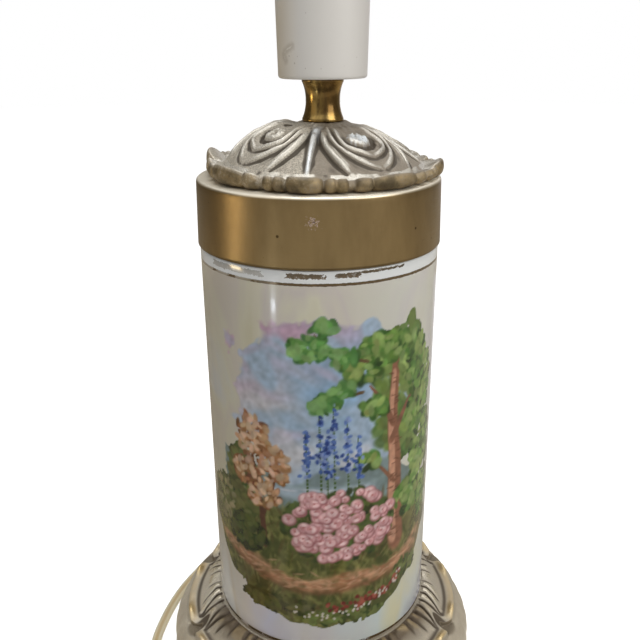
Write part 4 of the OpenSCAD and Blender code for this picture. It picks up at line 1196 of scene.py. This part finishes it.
def makeSleeve(material):
    # rolled thread: the radius swings once for every pitch of height, shifted once per turn
    c = sleeveSet
    a = np.arange(c["columns"]) * 2 * np.pi / c["columns"]
    z = np.linspace(0, c["tall"], 64)
    ends = smooth(0, c["runOut"], z) * smooth(c["tall"], c["tall"] - c["runOut"], z)
    inner = c["inner"] + c["swing"] * np.cos(2 * np.pi * (z[None] / c["pitch"]) - a[:, None]) * ends
    r = np.concatenate([inner + c["sheet"], inner[:, ::-1]], 1)
    points = around(r, a, np.concatenate([z, z[::-1]]) + heights["sleeve"], stemX)
    makePiece("screw_sleeve", points, quadGrid(len(a), r.shape[1]), material, ("thread_sleeve",))


shellWhite = whitePlastic()
contactBrass = plainMetal("plainBrass", (170, 138, 74), (206, 176, 108), 0.4, (0.2, 0.4))
makeHolder(shellWhite)
makeSleeve(contactBrass)
print("lampholder made")

# carried-over solids and small pieces

plasticSet = {"gold": ((150, 118, 66), (176, 142, 86)), "brown": ((66, 47, 30), (88, 65, 43)),
              "ceramic": ((204, 200, 188), (226, 222, 212)), "felt": ((62, 54, 40), (96, 84, 62)),
              "cork": ((120, 88, 56), (170, 132, 92))}
# widths of the rounds on the moulded pieces, in mm
goldRounds = {"switch_base": 0.7, "switch_cover": 0.9, "plug_body": 0.9}
brownRounds = {"flex_bush": 0.4, "coil_ties": 0.25}


def moulded(name, low, high, rough):
    # clouded tones and a fine grain
    material, tree = newMaterial(name, {"IOR": 1.48, "Coat Weight": 0.1})
    cloud = tree.noise(0.12, 4.0)
    tree.feed("Base Color", tree.blend(cloud, low, high))
    grain = tree.noise(1.4, 2.0)
    tree.feed("Roughness", tree.span(grain, 0.3, 0.7, rough - 0.08, rough + 0.1))
    tree.relief(tree.noise(2.2, 3.0), 0.02, 0.35)
    return material


def feltPad():
    # short fibres: a fine noise for both tone and height
    material, tree = newMaterial("feltPad", {"Roughness": 0.95})
    fuzz = tree.noise(3.0, 5.0, 0.7)
    tree.feed("Base Color", tree.blend(fuzz, *plasticSet["felt"]))
    tree.relief(fuzz, 0.3, 0.8)
    return material


def corkRing():
    # crumbs: the distance from scattered points for both tone and height
    material, tree = newMaterial("corkRing", {"Roughness": 0.9})
    crumb = tree.add("TexVoronoi", {"Vector": tree.place(), "Scale": 0.8}).outputs["Distance"]
    tree.feed("Base Color", tree.blend(crumb, *plasticSet["cork"]))
    tree.relief(crumb, 0.2, 0.6)
    return material


goldPlastic = moulded("goldPlastic", *plasticSet["gold"], 0.34)
brownPlastic = moulded("brownPlastic", *plasticSet["brown"], 0.42)
blockCeramic = moulded("blockCeramic", *plasticSet["ceramic"], 0.5)
steel = plainMetal("platedSteel", (150, 150, 152), (200, 200, 202), 0.5, (0.2, 0.38))
dressNode(feltPad(), "base_felt")
dressNode(corkRing(), "lower_gasket", "upper_gasket")
dressNode(steel, "base_washer", "stem_tube", "holder_grub_screw", "switch_screws", "plug_pins")
dressNode(contactBrass, "base_nut", "terminal_screws", "centre_contact", "side_contact", "switch_contacts")
dressNode(blockCeramic, "contact_block")
dressNode(bpy.data.materials["goldFlex"], "riser_flex")
switchPieces = [softNode(name, goldPlastic, goldRounds[name]) for name in goldRounds]
switchPieces += [softNode(name, brownPlastic, brownRounds[name]) for name in brownRounds]
rocker = softNode("switch_rocker", brownPlastic, 0.6, "rocker")
print("small pieces dressed")

# stage and light

stageSet = {"ambient": 0.27, "floorGlow": 0.84, "floorRadius": 4.0, "floorSides": 64, "cardSteps": 97,
            "warm": (1.0, 0.98, 0.95)}


def cameraSees(tree):
    # 1 for rays that should meet the white background
    path = tree.add("LightPath")
    glossy = tree.most(path.outputs["Is Camera Ray"], path.outputs["Is Glossy Ray"])
    return tree.most(glossy, path.outputs["Is Transmission Ray"])


def makeStage():
    # round floor that glows white to the camera, in a pale room
    n, wide = stageSet["floorSides"], stageSet["floorRadius"]
    ring = np.arange(n) * 2 * np.pi / n
    rim = np.stack([wide * np.cos(ring), wide * np.sin(ring), 0 * ring], 1)
    points = np.concatenate([[(0, 0, 0)], rim])
    mesh = bpy.data.meshes.new("floor")
    mesh.from_pydata(points.tolist(), [], [(0, k + 1, (k + 1) % n + 1) for k in range(n)])
    material = bpy.data.materials.new("paleFloor")
    tree = emptyTree(material)
    matt = tree.add("BsdfDiffuse", {"Color": (0.86, 0.86, 0.85, 1)})
    glow = tree.add("Emission", {"Strength": tree.times(cameraSees(tree), stageSet["floorGlow"])})
    both = tree.add("AddShader", {0: matt.outputs[0], 1: glow.outputs[0]})
    tree.add("OutputMaterial", {"Surface": both.outputs[0]})
    mesh.materials.append(material)
    floor = bpy.data.objects.new("floor", mesh)
    scene.collection.objects.link(floor)
    world = bpy.data.worlds.new("paleRoom")
    scene.world = world
    tree = emptyTree(world)
    soft = tree.add("Background", {"Color": (1.0, 0.985, 0.96, 1), "Strength": stageSet["ambient"]})
    white = tree.add("Background", {"Color": (1, 1, 1, 1), "Strength": 1.0})
    pick = tree.add("MixShader", {0: cameraSees(tree), 1: soft.outputs[0], 2: white.outputs[0]})
    tree.add("OutputWorld", {"Surface": pick.outputs[0]})


def addCard(name, points, quads, tones, strength):
    # card seen only in reflections, with a tone at each point: it gives glaze and metal their darker sides
    mesh = bpy.data.meshes.new(name)
    mesh.from_pydata(points.reshape(-1, 3).tolist(), [], quads.tolist())
    shade = np.ones((len(mesh.vertices), 4), np.float32)
    shade[:, :3] = linear(np.repeat(tones, 2, 0))
    mesh.attributes.new("tone", "FLOAT_COLOR", "POINT").data.foreach_set("color", shade.ravel())
    material = bpy.data.materials.new(name)
    tree = emptyTree(material)
    glow = tree.add("Emission", {"Color": tree.field("tone", "Color"), "Strength": strength})
    tree.add("OutputMaterial", {"Surface": glow.outputs[0]})
    mesh.materials.append(material)
    card = bpy.data.objects.new(name, mesh)
    scene.collection.objects.link(card)
    card.visible_camera = False
    card.visible_diffuse = False
    card.visible_transmission = False
    card.visible_shadow = False


def bearings(turns, stops):
    # bearings of a card from the front, with the right at 90, and its tone at each of them
    turn = np.linspace(turns[0], turns[1], stageSet["cardSteps"])
    at = [stop[0] for stop in stops]
    tones = [np.interp(turn, at, [stop[1][k] for stop in stops]) for k in range(3)]
    return np.radians(turn)[:, None], np.stack(tones, -1)


def wallCard(name, turns, radius, low, high, stops, strength=1.0):
    # upright card curved about the stem
    a, tones = bearings(turns, stops)
    z = np.array([[low, high]])
    points = np.stack([radius * np.sin(a) + 0 * z, -radius * np.cos(a) + 0 * z, z + 0 * a], -1)
    addCard(name, points, quadGrid(len(a), 2, False, False), tones, strength)


def tableCard(name, turns, inner, outer, height, stops, strength=1.0):
    # flat sector lying round the lamp
    a, tones = bearings(turns, stops)
    r = np.array([[inner, outer]])
    points = np.stack([r * np.sin(a), -r * np.cos(a), height + 0 * r * a], -1)
    addCard(name, points, quadGrid(len(a), 2, False, False), tones, strength)


def addLamp(name, spot, aim, size, power, tint=(1, 1, 1)):
    # square soft light whose own z axis points back from its aim
    data = bpy.data.lights.new(name, "AREA")
    data.shape = "RECTANGLE"
    data.size, data.size_y = size, size
    data.energy = power
    data.color = tint
    lamp = bpy.data.objects.new(name, data)
    back = np.array(spot, float) - np.array(aim, float)
    back /= np.linalg.norm(back)
    right = np.cross([0, 0, 1.0], back)
    right /= np.linalg.norm(right)
    up = np.cross(back, right)
    rows = [[*map(float, row)] for row in zip(right, up, back, spot)]
    lamp.matrix_world = Matrix(rows + [[0, 0, 0, 1]])
    scene.collection.objects.link(lamp)


makeStage()
addLamp("keySoft", spot=(0.8, -0.6, 0.7), aim=(0, 0, 0.18), size=0.7, power=4.2, tint=stageSet["warm"])
addLamp("fillSoft", spot=(-0.8, -0.45, 0.55), aim=(0, 0, 0.12), size=0.7, power=0.45,
        tint=stageSet["warm"])
addLamp("topSoft", spot=(0.0, -0.1, 1.2), aim=(0, 0, 0.2), size=0.6, power=3.8)
wallCard("wallShade", turns=(-180, 180), radius=1.4, low=0.0, high=1.1, stops=(
          (-180, (112, 104, 91)), (-90, (100, 92, 78)), (-45, (158, 152, 142)), (0, (176, 171, 162)),
          (45, (168, 163, 153)), (90, (138, 130, 117)), (140, (140, 133, 122)), (152, (216, 213, 216)),
          (173, (220, 217, 220)), (180, (112, 104, 91))))
tableCard("nearShade", turns=(-180, 180), inner=0.1, outer=0.72, height=0.0005, stops=(
           (-180, (152, 143, 127)), (-110, (132, 121, 102)), (-60, (126, 120, 109)), (0, (122, 118, 111)),
           (60, (134, 129, 120)), (100, (172, 163, 147)), (140, (172, 165, 152)), (152, (216, 213, 216)),
           (173, (220, 217, 220)), (180, (152, 143, 127))))
tableCard("farShade", turns=(-180, 180), inner=0.72, outer=1.39, height=0.0005, stops=(
           (-180, (156, 147, 131)), (-110, (166, 153, 132)), (-60, (206, 198, 184)), (0, (238, 232, 220)),
           (60, (232, 225, 212)), (100, (208, 199, 182)), (180, (156, 147, 131))))
wallCard("wallStreak", turns=(-87, -75), radius=1.38, low=0.0, high=0.16, stops=((0, (255, 230, 184)),),
         strength=7.0)
tableCard("tableStreak", turns=(-87, -75), inner=1.1, outer=1.3, height=0.0008,
          stops=((0, (255, 250, 242)),), strength=2.4)
tableCard("tableGlint", turns=(-44.2, -40.2), inner=0.64, outer=0.68, height=0.0010,
          stops=((0, (235, 245, 255)),), strength=30.0)
print("stage lit")
